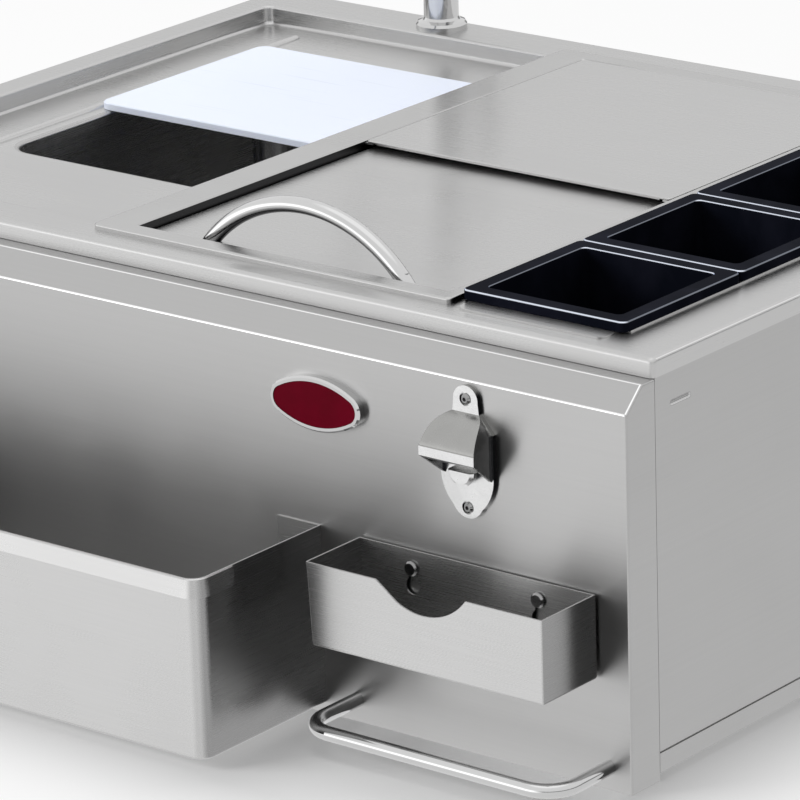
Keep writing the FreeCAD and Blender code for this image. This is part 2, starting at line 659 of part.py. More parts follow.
# ---------------------------------------------------------------- deck and sink
def top_deck():
    """The top sheet, turned down on all sides, with openings for pan, bin and well."""
    outer = capsule_block(-HALF_WIDTH, HALF_WIDTH, NOSE_Y, CABINET_DEPTH, DECK_CORNER,
                          PANEL_TOP, DECK_TOP, NOSE_RADIUS)
    inner = capsule_block(-SIDE_INNER, SIDE_INNER, NOSE_Y + SHEET, CABINET_DEPTH - SHEET,
                          DECK_CORNER - SHEET, PANEL_TOP - 1, DECK_TOP - SHEET,
                          NOSE_RADIUS - SHEET)
    deck = outer.cut(inner)
    recess = rounded_block(RECESS_LEFT - PAN_FLANGE, RECESS_RIGHT + PAN_FLANGE,
                           RECESS_FRONT - PAN_FLANGE, RECESS_REAR + PAN_FLANGE,
                           RECESS_CORNER + PAN_FLANGE, PANEL_TOP, DECK_TOP + 1)
    gap = SHEET + 2 * SEAM
    mouth = rounded_block(MOUTH_LEFT - gap, MOUTH_RIGHT + gap, MOUTH_FRONT - gap,
                          MOUTH_REAR + gap, FRAME_CORNER, PANEL_TOP, DECK_TOP + 1)
    well = rounded_block(WELL_LEFT - SEAM, WELL_RIGHT + SEAM, WELL_FRONT - SEAM,
                         WELL_REAR + SEAM, POCKET_CORNER, PANEL_TOP, DECK_TOP + 1)
    deck = deck.cut(recess.fuse([mouth, well]))
    shank = cylinder(SHANK_RADIUS + SEAM, 20, Vector(FAUCET_X, FAUCET_Y, DECK_TOP - 10))
    return deck.cut(shank)


def sink_deck():
    """The sunken work surface with the bowl's opening and the board's guide bead."""
    pan = drawn_pan(RECESS_LEFT, RECESS_RIGHT, RECESS_FRONT, RECESS_REAR, RECESS_CORNER,
                    DECK_TOP, RECESS_DEPTH, SHEET, PAN_ROLL, 3.0)
    low = RECESS_FLOOR - BEAD_RADIUS * 0.5
    start = Vector(BEAD_X, BEAD_FRONT, low)
    length = BEAD_REAR - BEAD_FRONT
    reach = BEAD_RADIUS * 1.5
    ridge = cylinder(reach, length, start, Vector(0, 1, 0))
    for y in (BEAD_FRONT, BEAD_REAR):
        ridge = ridge.fuse(Part.makeSphere(reach, Vector(BEAD_X, y, low)))
    above = box(BEAD_X - 9, BEAD_X + 9, BEAD_FRONT - 9, BEAD_REAR + 9,
                RECESS_FLOOR - SHEET, RECESS_FLOOR + 9)
    pan = pan.fuse(ridge.common(above))
    groove = cylinder(reach - SHEET, length, start, Vector(0, 1, 0))
    pan = pan.cut(groove)
    opening = rounded_block(BOWL_LEFT - PAN_FLANGE, BOWL_RIGHT + PAN_FLANGE,
                            BOWL_FRONT - PAN_FLANGE, BOWL_REAR + PAN_FLANGE,
                            BOWL_CORNER + PAN_FLANGE, RECESS_FLOOR - 9, RECESS_FLOOR + 1)
    return pan.cut(opening)


def sink_bowl():
    """Deep-drawn bowl whose floor dishes to the drain hole."""
    bowl = drawn_pan(BOWL_LEFT, BOWL_RIGHT, BOWL_FRONT, BOWL_REAR, BOWL_CORNER,
                     RECESS_FLOOR, BOWL_DEPTH, BOWL_SHEET, BOWL_ROLL, BOWL_FLOOR_RADIUS)
    centre = Vector(BOWL_X, BOWL_Y, BOWL_FLOOR)
    under = Vector(0, 0, -1)
    dish = Part.makeCone(DISH_RADIUS, DRAIN_HOLE_RADIUS, DISH_FALL, centre, under)
    backing = Part.makeCone(DISH_RADIUS + BOWL_SHEET, DRAIN_HOLE_RADIUS + BOWL_SHEET,
                            DISH_FALL, centre - Vector(0, 0, BOWL_SHEET), under)
    bowl = bowl.fuse(backing).cut(dish)
    hole = cylinder(DRAIN_HOLE_RADIUS, 20, centre - Vector(0, 0, 10))
    return bowl.cut(hole).removeSplitter()


# ---------------------------------------------------------------- sink drain
def sink_strainer_body():
    """Drain body: flange in the dish, tube through the hole and a cross web at its foot."""
    slope = DISH_FALL / (DISH_RADIUS - DRAIN_HOLE_RADIUS)
    rise = (STRAINER_RADIUS - DRAIN_HOLE_RADIUS) * slope
    bore = DRAIN_BODY_RADIUS - DRAIN_WALL
    points = [(bore, DRAIN_FOOT), (DRAIN_BODY_RADIUS, DRAIN_FOOT), (DRAIN_BODY_RADIUS, DISH_FLOOR),
              (DRAIN_HOLE_RADIUS, DISH_FLOOR), (STRAINER_RADIUS, DISH_FLOOR + rise),
              (STRAINER_RADIUS - 1, DISH_FLOOR + rise + STRAINER_FLANGE),
              (DRAIN_HOLE_RADIUS, DISH_FLOOR + STRAINER_FLANGE), (bore, DISH_FLOOR - GASKET)]
    body = turned(points, Vector(BOWL_X, BOWL_Y, 0))
    half = WEB_THICKNESS / 2
    reach = bore + DRAIN_WALL / 3
    for length_x, length_y in ((reach, half), (half, reach)):
        body = body.fuse(box(BOWL_X - length_x, BOWL_X + length_x, BOWL_Y - length_y,
                             BOWL_Y + length_y, WEB_TOP - WEB_THICKNESS, WEB_TOP))
    return body.removeSplitter()


def strainer_basket():
    """Perforated cup with a lifting knob, standing on the drain body's web."""
    rim_z = WEB_TOP + TOUCH + BASKET_DEPTH
    centre = Vector(BOWL_X, BOWL_Y, 0)
    wall = 1.0
    rim = BASKET_RADIUS + 1.2
    low = WEB_TOP + TOUCH
    points = [(0, low), (BASKET_RADIUS - 3, low), (BASKET_RADIUS, low + 4),
              (BASKET_RADIUS, rim_z - wall), (rim, rim_z - wall), (rim, rim_z),
              (BASKET_RADIUS - wall, rim_z), (BASKET_RADIUS - wall, low + 4.4),
              (BASKET_RADIUS - 3.4, low + wall), (KNOB_RADIUS / 2, low + wall),
              (KNOB_RADIUS / 2, rim_z - 5), (KNOB_RADIUS, rim_z - 3), (KNOB_RADIUS, rim_z + 1),
              (0, rim_z + 1)]
    basket = turned(points, centre)
    ring = BASKET_RADIUS * 0.58
    for index in range(6):
        angle = math.radians(60 * index)
        place = Vector(BOWL_X + ring * math.cos(angle), BOWL_Y + ring * math.sin(angle), low - 1)
        basket = basket.cut(cylinder(2.4, 4, place))
    return basket


def sink_drain_gasket():
    place = Vector(BOWL_X, BOWL_Y, DRAIN_UNDERSIDE - GASKET)
    gasket = cylinder(DRAIN_HOLE_RADIUS + 5, GASKET, place)
    return gasket.cut(cylinder(DRAIN_BODY_RADIUS, GASKET, place))


def sink_drain_nut():
    """Locknut that pulls the drain body down on its gasket."""
    level = DRAIN_UNDERSIDE - GASKET - DRAIN_NUT_HEIGHT
    return hexagon_nut(2 * (DRAIN_HOLE_RADIUS + 4), DRAIN_BODY_RADIUS, DRAIN_NUT_HEIGHT,
                       Vector(BOWL_X, BOWL_Y, level), Vector(0, 0, 1))


def sink_tailpiece():
    """Flanged tube that hangs from the drain body and leaves through the base pan."""
    inner = TAILPIECE_RADIUS - TAILPIECE_WALL
    neck = TAILPIECE_RADIUS + TAILPIECE_NECK
    flange = DRAIN_FOOT - TAILPIECE_FLANGE
    lip = flange - SLIP_LIP
    points = [(inner, TAILPIECE_END), (TAILPIECE_RADIUS, TAILPIECE_END),
              (TAILPIECE_RADIUS, lip), (neck, lip), (neck, flange),
              (DRAIN_BODY_RADIUS, flange), (DRAIN_BODY_RADIUS, DRAIN_FOOT), (inner, DRAIN_FOOT)]
    return turned(points, Vector(BOWL_X, BOWL_Y, 0))


def sink_slip_nut():
    """Nut that draws the tailpiece's flange up to the drain body."""
    outer = DRAIN_BODY_RADIUS + 4
    neck = TAILPIECE_RADIUS + TAILPIECE_NECK
    flange = DRAIN_FOOT - TAILPIECE_FLANGE
    lip = flange - SLIP_LIP
    rim = DRAIN_FOOT + SLIP_GRIP
    points = [(neck, lip), (outer, lip), (outer, rim), (DRAIN_BODY_RADIUS, rim),
              (DRAIN_BODY_RADIUS, flange), (neck, flange)]
    nut = turned(points, Vector(BOWL_X, BOWL_Y, 0))
    for index in range(4):
        flat = box(outer - 1.2, outer + 5, -outer, outer, lip - 1, rim + 1)
        flat.rotate(Vector(0, 0, 0), Vector(0, 0, 1), 90 * index)
        flat.translate(Vector(BOWL_X, BOWL_Y, 0))
        nut = nut.cut(flat)
    return nut


# ---------------------------------------------------------------- ice bin
def ice_bin_frame():
    """Raised frame round the bin's mouth, turned down inside to a ledge for the lid."""
    raised = capsule_block(FRAME_LEFT, FRAME_RIGHT, FRAME_FRONT, FRAME_REAR, FRAME_CORNER,
                           DECK_TOP, FRAME_TOP, FRAME_EDGE)
    under = rounded_block(FRAME_LEFT + SHEET, FRAME_RIGHT - SHEET, FRAME_FRONT + SHEET,
                          FRAME_REAR - SHEET, FRAME_CORNER - SHEET, DECK_TOP - 1,
                          FRAME_TOP - SHEET)
    frame = raised.cut(under)
    wall = rounded_block(MOUTH_LEFT - SHEET, MOUTH_RIGHT + SHEET, MOUTH_FRONT - SHEET,
                         MOUTH_REAR + SHEET, MOUTH_CORNER + SHEET, BIN_TOP, FRAME_TOP)
    mouth = rounded_block(MOUTH_LEFT, MOUTH_RIGHT, MOUTH_FRONT, MOUTH_REAR, MOUTH_CORNER,
                          TRACK_TOP, FRAME_TOP + 1)
    bin_hole = rounded_block(BIN_LEFT, BIN_RIGHT, BIN_FRONT, BIN_REAR, BIN_CORNER,
                             BIN_TOP - 1, TRACK_TOP + 1)
    frame = frame.fuse(wall).cut(mouth.fuse(bin_hole)).removeSplitter()
    rim = [
        edge for edge in edges_at(frame, FRAME_TOP)
        if edge.BoundBox.XMin > MOUTH_LEFT - 0.01 and edge.BoundBox.XMax < MOUTH_RIGHT + 0.01
        and edge.BoundBox.YMin > MOUTH_FRONT - 0.01 and edge.BoundBox.YMax < MOUTH_REAR + 0.01
    ]
    return frame.makeChamfer(FRAME_LIP, rim)


def rear_lid_shelf():
    """Narrow U-shaped shelf that carries the rear lid above the sliding one."""
    top = SHELF_TOP
    ring = box(MOUTH_LEFT, MOUTH_RIGHT, REAR_LID_FRONT, MOUTH_REAR, top - SHEET, top)
    inner = box(MOUTH_LEFT + SHELF_WIDTH, MOUTH_RIGHT - SHELF_WIDTH, REAR_LID_FRONT - 1,
                MOUTH_REAR - SHELF_WIDTH, top - 2 * SHEET, top + 1)
    mouth = rounded_block(MOUTH_LEFT, MOUTH_RIGHT, MOUTH_FRONT, MOUTH_REAR, MOUTH_CORNER,
                          top - SHEET, top)
    return ring.cut(inner).common(mouth)


def ice_bin_liner():
    """Drawn bin hung under the ledge, with a hole for the drain."""
    inside = capsule_block(BIN_LEFT, BIN_RIGHT, BIN_FRONT, BIN_REAR, BIN_CORNER,
                           BIN_FLOOR, BIN_TOP + 1, 0, BIN_FLOOR_RADIUS)
    s = BIN_SHEET
    outside = capsule_block(BIN_LEFT - s, BIN_RIGHT + s, BIN_FRONT - s, BIN_REAR + s,
                            BIN_CORNER + s, BIN_FLOOR - s, BIN_TOP, 0, BIN_FLOOR_RADIUS + s)
    flange = rounded_block(MOUTH_LEFT - SHEET, MOUTH_RIGHT + SHEET, MOUTH_FRONT - SHEET,
                           MOUTH_REAR + SHEET, MOUTH_CORNER + SHEET, BIN_TOP - s, BIN_TOP)
    liner = outside.fuse(flange).cut(inside)
    hole = cylinder(NIPPLE_NECK, 10, Vector(BIN_DRAIN_X, BIN_DRAIN_Y, BIN_FLOOR - 5))
    return liner.cut(hole).removeSplitter()


def bin_insulation():
    """Foam jacket round the liner."""
    s = BIN_SHEET
    top = BIN_TOP - s
    jacket = rounded_block(BIN_LEFT - s - FOAM, BIN_RIGHT + s + FOAM, BIN_FRONT - s - FOAM,
                           BIN_REAR + s + FOAM, BIN_CORNER, BIN_FLOOR - s - FOAM, top)
    liner = capsule_block(BIN_LEFT - s, BIN_RIGHT + s, BIN_FRONT - s, BIN_REAR + s,
                          BIN_CORNER + s, BIN_FLOOR - s, top + 1, 0, BIN_FLOOR_RADIUS + s)
    hole = cylinder(NIPPLE_RADIUS + FOAM_HOLE, 60,
                    Vector(BIN_DRAIN_X, BIN_DRAIN_Y, BIN_FLOOR - 50))
    return jacket.cut(liner).cut(hole)


def bin_drain_nipple():
    """Flanged spigot from the bin's floor down through the base pan."""
    bore = BIN_DRAIN_RADIUS
    shoulder = BIN_UNDERSIDE - GASKET - BIN_NUT_HEIGHT
    flange = NIPPLE_NECK + NIPPLE_FLANGE
    top = BIN_FLOOR + NIPPLE_FLANGE / 4
    points = [(bore, NIPPLE_END), (NIPPLE_RADIUS, NIPPLE_END), (NIPPLE_RADIUS, shoulder),
              (NIPPLE_NECK, shoulder), (NIPPLE_NECK, BIN_FLOOR), (flange, BIN_FLOOR),
              (flange - NIPPLE_FLANGE / 10, top), (bore, top)]
    return turned(points, Vector(BIN_DRAIN_X, BIN_DRAIN_Y, 0))


def bin_drain_gasket():
    place = Vector(BIN_DRAIN_X, BIN_DRAIN_Y, BIN_UNDERSIDE - GASKET)
    ring = cylinder(NIPPLE_NECK + NIPPLE_FLANGE, GASKET, place)
    return ring.cut(cylinder(NIPPLE_NECK, GASKET, place))


def bin_drain_nut():
    level = BIN_UNDERSIDE - GASKET - BIN_NUT_HEIGHT
    return hexagon_nut(BIN_NUT_WIDTH, NIPPLE_NECK, BIN_NUT_HEIGHT,
                       Vector(BIN_DRAIN_X, BIN_DRAIN_Y, level), Vector(0, 0, 1))


# ---------------------------------------------------------------- lids
def front_lid():
    """Sliding lid: a shallow upturned tray that runs on the frame's ledge."""
    rear = LID_FRONT + FRONT_LID_LENGTH
    low = LID_TOP - LID_FLANGE
    outer = capsule_block(LID_LEFT, LID_RIGHT, LID_FRONT, rear, LID_CORNER, low, LID_TOP,
                          LID_RADIUS)
    inner = rounded_block(LID_LEFT + SHEET, LID_RIGHT - SHEET, LID_FRONT + SHEET,
                          rear - SHEET, LID_CORNER - SHEET, low - 1, LID_TOP - SHEET)
    lid = outer.cut(inner)
    for x in handle_feet():
        lid = lid.cut(cylinder(HANDLE_SCREW_RADIUS, 10, Vector(x, HANDLE_Y, LID_TOP - 6)))
    return lid


def handle_feet():
    return [HANDLE_X - HANDLE_SPAN / 2, HANDLE_X + HANDLE_SPAN / 2]


def lid_handle():
    """Bow of round bar on one arc, cut flat where its feet stand on the lid."""
    left, right = handle_feet()
    radius = (HANDLE_SPAN ** 2 / 4 + HANDLE_RISE ** 2) / (2 * HANDLE_RISE)
    centre = Vector(HANDLE_X, HANDLE_Y, LID_TOP + HANDLE_RISE - radius)
    half = math.degrees(math.asin(HANDLE_SPAN / 2 / radius)) + 5
    start = centre + Vector(-radius * math.sin(math.radians(half)), 0,
                            radius * math.cos(math.radians(half)))
    bow = bend_of(HANDLE_RADIUS, radius, centre, start, Vector(0, 1, 0), 2 * half)
    below = box(left - 40, right + 40, HANDLE_Y - 20, HANDLE_Y + 20, LID_TOP - 40, LID_TOP)
    bow = bow.cut(below)
    for x in (left, right):
        bow = bow.cut(cylinder(HANDLE_SCREW_RADIUS, HANDLE_SCREW_GRIP,
                               Vector(x, HANDLE_Y, LID_TOP)))
    return bow


def handle_screws():
    """Two screws from under the lid into the feet of the bow."""
    length = SHEET + HANDLE_SCREW_GRIP
    seat = LID_TOP - SHEET
    return [
        cone_screw(HANDLE_HEAD_RADIUS, HANDLE_HEAD_HEIGHT, HANDLE_SCREW_RADIUS, length,
                   Vector(x, HANDLE_Y, seat), Vector(0, 0, -1))
        for x in handle_feet()
    ]


def rear_lid():
    """Flat lid flush with the frame, hemmed along its front edge."""
    bottom = SHELF_TOP + TOUCH
    top = FRAME_TOP
    rear = MOUTH_REAR - LID_SIDE_GAP
    lid = rounded_block(LID_LEFT, LID_RIGHT, REAR_LID_FRONT, rear, LID_CORNER, bottom, top)
    lid = lid.makeChamfer(REAR_LID_BEVEL, edges_at(lid, top))
    inset = SHELF_WIDTH + LID_SIDE_GAP
    hem = box(LID_LEFT + inset, LID_RIGHT - inset, REAR_LID_FRONT + REAR_LID_BEVEL,
              REAR_LID_FRONT + REAR_LID_HEM, bottom - REAR_LID_HEM_DROP, bottom)
    return lid.fuse(hem).removeSplitter()


# ---------------------------------------------------------------- condiment trays
def tray_well():
    """Open-topped well for the trays, with side flanges and a tab at each end."""
    floor = WELL_FLOOR
    outer = rounded_block(WELL_LEFT, WELL_RIGHT, WELL_FRONT, WELL_REAR, POCKET_CORNER,
                          floor - SHEET, WELL_TOP)
    inner = rounded_block(WELL_LEFT + SHEET, WELL_RIGHT - SHEET, WELL_FRONT + SHEET,
                          WELL_REAR - SHEET, POCKET_CORNER - SHEET, floor, WELL_TOP + 1)
    flange = box(WELL_LEFT - WELL_FLANGE, WELL_RIGHT + WELL_FLANGE, WELL_FRONT,
                 WELL_REAR, DECK_TOP, WELL_TOP)
    tab = rounded_block(WELL_LEFT, WELL_RIGHT, WELL_TAB_FRONT, WELL_REAR + WELL_TAB_REAR,
                        WELL_TAB_CORNER, DECK_TOP, WELL_TOP)
    return outer.fuse([flange, tab]).cut(inner).removeSplitter()


def condiment_tray(index):
    """Moulded tray: skirted rim, drafted pocket and a rounded floor."""
    y0 = TRAY_FRONT + index * TRAY_PITCH
    y1 = y0 + TRAY_LENGTH
    x0 = TRAY_LEFT
    x1 = TRAY_RIGHT
    low = WELL_TOP + TOUCH
    wall = TRAY_WALL
    rim = rounded_block(x0, x1, y0, y1, TRAY_CORNER, low, TRAY_TOP)
    rim = rim.makeFillet(TRAY_EDGE, edges_at(rim, TRAY_TOP))
    hollow = rounded_block(x0 + wall, x1 - wall, y0 + wall, y1 - wall, TRAY_CORNER - wall,
                           low - 1, TRAY_TOP - wall)
    left = x0 + TRAY_SIDE_RIM
    right = x1 - TRAY_SIDE_RIM
    front = y0 + TRAY_END_RIM
    rear = y1 - TRAY_END_RIM
    pocket = drafted_block(left, right, front, rear, 0, TRAY_DEPTH)
    cavity = drafted_block(left, right, front, rear, wall, TRAY_DEPTH - wall)
    tray = rim.cut(hollow).fuse(pocket).cut(cavity).removeSplitter()
    mouth = [
        edge for edge in edges_at(tray, TRAY_TOP)
        if edge.BoundBox.XMin > left - 1 and edge.BoundBox.XMax < right + 1
        and edge.BoundBox.YMin > front - 1 and edge.BoundBox.YMax < rear + 1
    ]
    return tray.makeFillet(TRAY_LIP, mouth)


def drafted_block(left, right, front, rear, inset, depth):
    """Pocket volume that narrows from the rim down, with round lower edges."""
    lean = TRAY_DRAFT * depth / TRAY_DEPTH
    corner = POCKET_CORNER - inset
    top = rounded_outline(left + inset, right - inset, front + inset, rear - inset,
                          corner, TRAY_TOP)
    low = inset + lean
    foot = rounded_outline(left + low, right - low, front + low, rear - low, corner,
                           TRAY_TOP - depth)
    return Part.makeLoft([foot, top], True, True)


# ---------------------------------------------------------------- cutting board
def cutting_board():
    board = rounded_block(BOARD_LEFT, BOARD_RIGHT, BOARD_FRONT, BOARD_FRONT + BOARD_LENGTH,
                          BOARD_CORNER, BOARD_Z, BOARD_Z + BOARD_THICKNESS)
    return board.makeChamfer(BOARD_BEVEL, edges_at(board, BOARD_Z + BOARD_THICKNESS))


# ---------------------------------------------------------------- faucet
def faucet_body():
    """Base, column, side valve boss and the threaded shank below the deck."""
    centre = Vector(FAUCET_X, FAUCET_Y, DECK_TOP)
    base = FAUCET_BASE_RADIUS
    column = FAUCET_COLUMN_RADIUS
    socket = SPOUT_RADIUS + FIT
    top = FAUCET_COLUMN_HEIGHT
    step = FAUCET_BASE_HEIGHT
    points = [(0, 0), (base, 0), (base, step / 2), (base - 1.5, step - 1.5), (column + 1, step),
              (column, step + 2), (column, top - 1), (column - 1, top),
              (socket, top), (socket, top - SPOUT_SOCKET), (0, top - SPOUT_SOCKET)]
    body = turned(points, centre)
    boss = cylinder(FAUCET_VALVE_RADIUS, FAUCET_VALVE_REACH,
                    centre + Vector(0, 0, FAUCET_VALVE_Z), Vector(1, 0, 0))
    boss = boss.makeFillet(1.0, edges_at(boss, FAUCET_X + FAUCET_VALVE_REACH, "x"))
    below = SHANK_LENGTH + INLET_LENGTH
    shank = cylinder(SHANK_RADIUS, SHANK_LENGTH, centre - Vector(0, 0, SHANK_LENGTH))
    inlet = cylinder(INLET_RADIUS, INLET_LENGTH, centre - Vector(0, 0, below))
    body = body.fuse([boss, shank, inlet]).removeSplitter()
    waterway = cylinder(WATERWAY_RADIUS, below + WATERWAY_RISE, centre - Vector(0, 0, below))
    stem = cylinder(STEM_RADIUS + FIT, STEM_SEAT,
                    centre + Vector(FAUCET_VALVE_REACH - STEM_SEAT, 0, FAUCET_VALVE_Z),
                    Vector(1, 0, 0))
    return body.cut(waterway).cut(stem)


def faucet_nut():
    """Locknut under the rear ledge."""
    level = DECK_TOP - SHEET - GASKET - FAUCET_NUT_HEIGHT
    return hexagon_nut(FAUCET_NUT_WIDTH, SHANK_RADIUS, FAUCET_NUT_HEIGHT,
                       Vector(FAUCET_X, FAUCET_Y, level), Vector(0, 0, 1))


def faucet_washer():
    place = Vector(FAUCET_X, FAUCET_Y, DECK_TOP - SHEET - GASKET)
    ring = cylinder(FAUCET_NUT_WIDTH / 2, GASKET, place)
    return ring.cut(cylinder(SHANK_RADIUS, GASKET, place))


def faucet_spout():
    """Gooseneck tube with a collar that turns on the column."""
    x = FAUCET_X
    foot = DECK_TOP + FAUCET_COLUMN_HEIGHT - 18
    rise = DECK_TOP + SPOUT_RISE
    outlet = rise - SPOUT_DROP
    pivot = Vector(x, FAUCET_Y - SPOUT_BOW, rise)
    tubes = []
    for radius in (SPOUT_RADIUS, SPOUT_BORE):
        upright = cylinder(radius, rise - foot, Vector(x, FAUCET_Y, foot))
        bow = bend_of(radius, SPOUT_BOW, pivot, Vector(x, FAUCET_Y, rise), Vector(1, 0, 0), 180)
        drop = cylinder(radius, SPOUT_DROP, Vector(x, FAUCET_Y - 2 * SPOUT_BOW, outlet))
        tubes.append(upright.fuse([bow, drop]).removeSplitter())
    tube = tubes[0].cut(tubes[1])
    collar_z = DECK_TOP + FAUCET_COLUMN_HEIGHT + TOUCH
    collar = cylinder(SPOUT_COLLAR_RADIUS, SPOUT_COLLAR_HEIGHT, Vector(x, FAUCET_Y, collar_z))
    collar = collar.makeChamfer(2.0, edges_at(collar, collar_z + SPOUT_COLLAR_HEIGHT))
    collar = collar.cut(cylinder(SPOUT_RADIUS, SPOUT_COLLAR_HEIGHT,
                                 Vector(x, FAUCET_Y, collar_z)))
    return tube.fuse(collar).removeSplitter()


def spout_aerator():
    """Knurled outlet screwed on the end of the spout."""
    outlet = Vector(FAUCET_X, FAUCET_Y - 2 * SPOUT_BOW, DECK_TOP + SPOUT_RISE - SPOUT_DROP)
    r = AERATOR_RADIUS
    h = AERATOR_HEIGHT
    points = [(SPOUT_RADIUS, -2), (SPOUT_RADIUS, 8), (r, 8), (r, 9 - h), (r - 1, 8 - h),
              (SPOUT_BORE, 8 - h), (SPOUT_BORE, -2)]
    return turned(points, outlet)


def faucet_lever():
    """Hub on the side of the valve with a slim lever standing up from it."""
    x0 = FAUCET_X + FAUCET_VALVE_REACH + TOUCH
    z = DECK_TOP + FAUCET_VALVE_Z
    along = Vector(1, 0, 0)
    hub = cylinder(LEVER_HUB_RADIUS, LEVER_HUB_LENGTH, Vector(x0, FAUCET_Y, z), along)
    hub = hub.makeChamfer(1.5, edges_at(hub, x0 + LEVER_HUB_LENGTH, "x"))
    stem = cylinder(STEM_RADIUS, STEM_LENGTH + TOUCH,
                    Vector(x0 - STEM_LENGTH - TOUCH, FAUCET_Y, z), along)
    foot = Vector(x0 + LEVER_HUB_LENGTH / 2, FAUCET_Y, z)
    blade = Part.makeCone(3.0, 4.4, LEVER_LENGTH, foot, Vector(LEVER_LEAN, 0, 1))
    return hub.fuse([stem, blade]).removeSplitter()


# ---------------------------------------------------------------- speed rail
def rail_screw_places():
    """Two screws through each end flange of the rail."""
    columns = (RAIL_LEFT + RAIL_SCREW_INSET, RAIL_RIGHT - RAIL_SCREW_INSET)
    rows = (RAIL_BOTTOM + RAIL_BACK_CURB + RAIL_SCREW_INSET, RAIL_TOP - RAIL_SCREW_INSET)
    return [(x, z) for x in columns for z in rows]


def speed_rail():
    """Bottle trough with round front corners, hemmed lip and an open back."""
    corner = RAIL_CORNER
    s = SHEET
    outer = rounded_block(RAIL_LEFT, RAIL_RIGHT, -RAIL_DEPTH, RAIL_PAST, corner,
                          RAIL_BOTTOM, RAIL_TOP)
    outer = outer.makeFillet(RAIL_FOLD, edges_at(outer, RAIL_BOTTOM))
    inner = rounded_block(RAIL_LEFT + s, RAIL_RIGHT - s, -RAIL_DEPTH + s, RAIL_PAST - s,
                          corner - s, RAIL_BOTTOM + s, RAIL_TOP + 1)
    behind = box(RAIL_LEFT - 9, RAIL_RIGHT + 9, 0, RAIL_PAST + 9, RAIL_BOTTOM - 9, RAIL_TOP + 9)
    rail = outer.fuse(rail_hem()).cut(inner).cut(behind)
    curb = box(RAIL_LEFT + s, RAIL_RIGHT - s, -s, 0, RAIL_BOTTOM + s / 2,
               RAIL_BOTTOM + RAIL_BACK_CURB)
    pieces = [curb]
    for x0, x1 in ((RAIL_LEFT + s / 2, RAIL_LEFT + RAIL_BACK_FLANGE),
                   (RAIL_RIGHT - RAIL_BACK_FLANGE, RAIL_RIGHT - s / 2)):
        pieces.append(box(x0, x1, -s, 0, RAIL_BOTTOM + s / 2, RAIL_TOP))
    rail = rail.fuse(pieces).removeSplitter()
    for x, z in rail_screw_places():
        rail = rail.cut(cylinder(PANEL_SCREW_RADIUS, 10, Vector(x, -8, z), Vector(0, 1, 0)))
    return rail


def rail_hem():
    """Turned-over edge, leaning out at its foot, along the front and round both corners."""
    outlines = [
        rounded_outline(RAIL_LEFT - out, RAIL_RIGHT + out, -RAIL_DEPTH - out, RAIL_PAST,
                        RAIL_CORNER + out, z)
        for out, z in ((RAIL_HEM_FOOT, RAIL_TOP - RAIL_HEM), (RAIL_HEM_HEAD, RAIL_TOP))
    ]
    hem = Part.makeLoft(outlines, True, True)
    hem = hem.makeChamfer(RAIL_LIP_BEVEL, edges_at(hem, RAIL_TOP))
    end = RAIL_HEM_WRAP - RAIL_DEPTH
    foot = RAIL_TOP - RAIL_HEM
    clip = RAIL_HEM_CLIP
    stop = [(end - clip, foot - 1), (end - clip, foot), (end - 0.3 * clip, foot + 0.3 * clip),
            (end, foot + clip), (end, RAIL_TOP + 1), (RAIL_PAST + 1, RAIL_TOP + 1),
            (RAIL_PAST + 1, foot - 1)]
    return hem.cut(polygon_prism(stop, "x", RAIL_LEFT - 9, RAIL_RIGHT + 9))


def rail_screws():
    return [
        cone_screw(PANEL_HEAD_RADIUS, PANEL_HEAD_HEIGHT, PANEL_SCREW_RADIUS, PANEL_SCREW_LENGTH,
                   Vector(x, -SHEET, z), Vector(0, -1, 0))
        for x, z in rail_screw_places()
    ]


# ---------------------------------------------------------------- bottle opener
def opener_screw_places():
    top = OPENER_TOP - OPENER_SCREW_INSET
    return [(OPENER_X, top), (OPENER_X, top - OPENER_SCREW_PITCH)]


def bottle_opener():
    """Cast wall opener: back plate, arched hood and the tooth that lifts the cap."""
    lip = box(OPENER_X - HOOD_WIDTH / 2, OPENER_X + HOOD_WIDTH / 2, -HOOD_REACH - LIP_BEAD,
              LIP_BEAD - HOOD_REACH, OPENER_TOP - HOOD_CREST - HOOD_LIP, OPENER_TOP - HOOD_CREST)
    lip = lip.makeChamfer(LIP_BEAD / 2, edges_at(lip, -HOOD_REACH - LIP_BEAD, "y"))
    opener = opener_plate().fuse([opener_hood(0), lip]).cut(opener_hood(HOOD_WALL))
    opener = opener.fuse(opener_tooth()).removeSplitter()
    for x, z in opener_screw_places():
        front = Vector(x, -OPENER_PLATE - 1, z)
        back = Vector(0, 1, 0)
        opener = opener.cut(cylinder(OPENER_SINK_RADIUS, OPENER_SINK_DEPTH + 1, front, back))
        opener = opener.cut(cylinder(PANEL_SCREW_RADIUS, OPENER_PLATE + 2, front, back))
    return opener


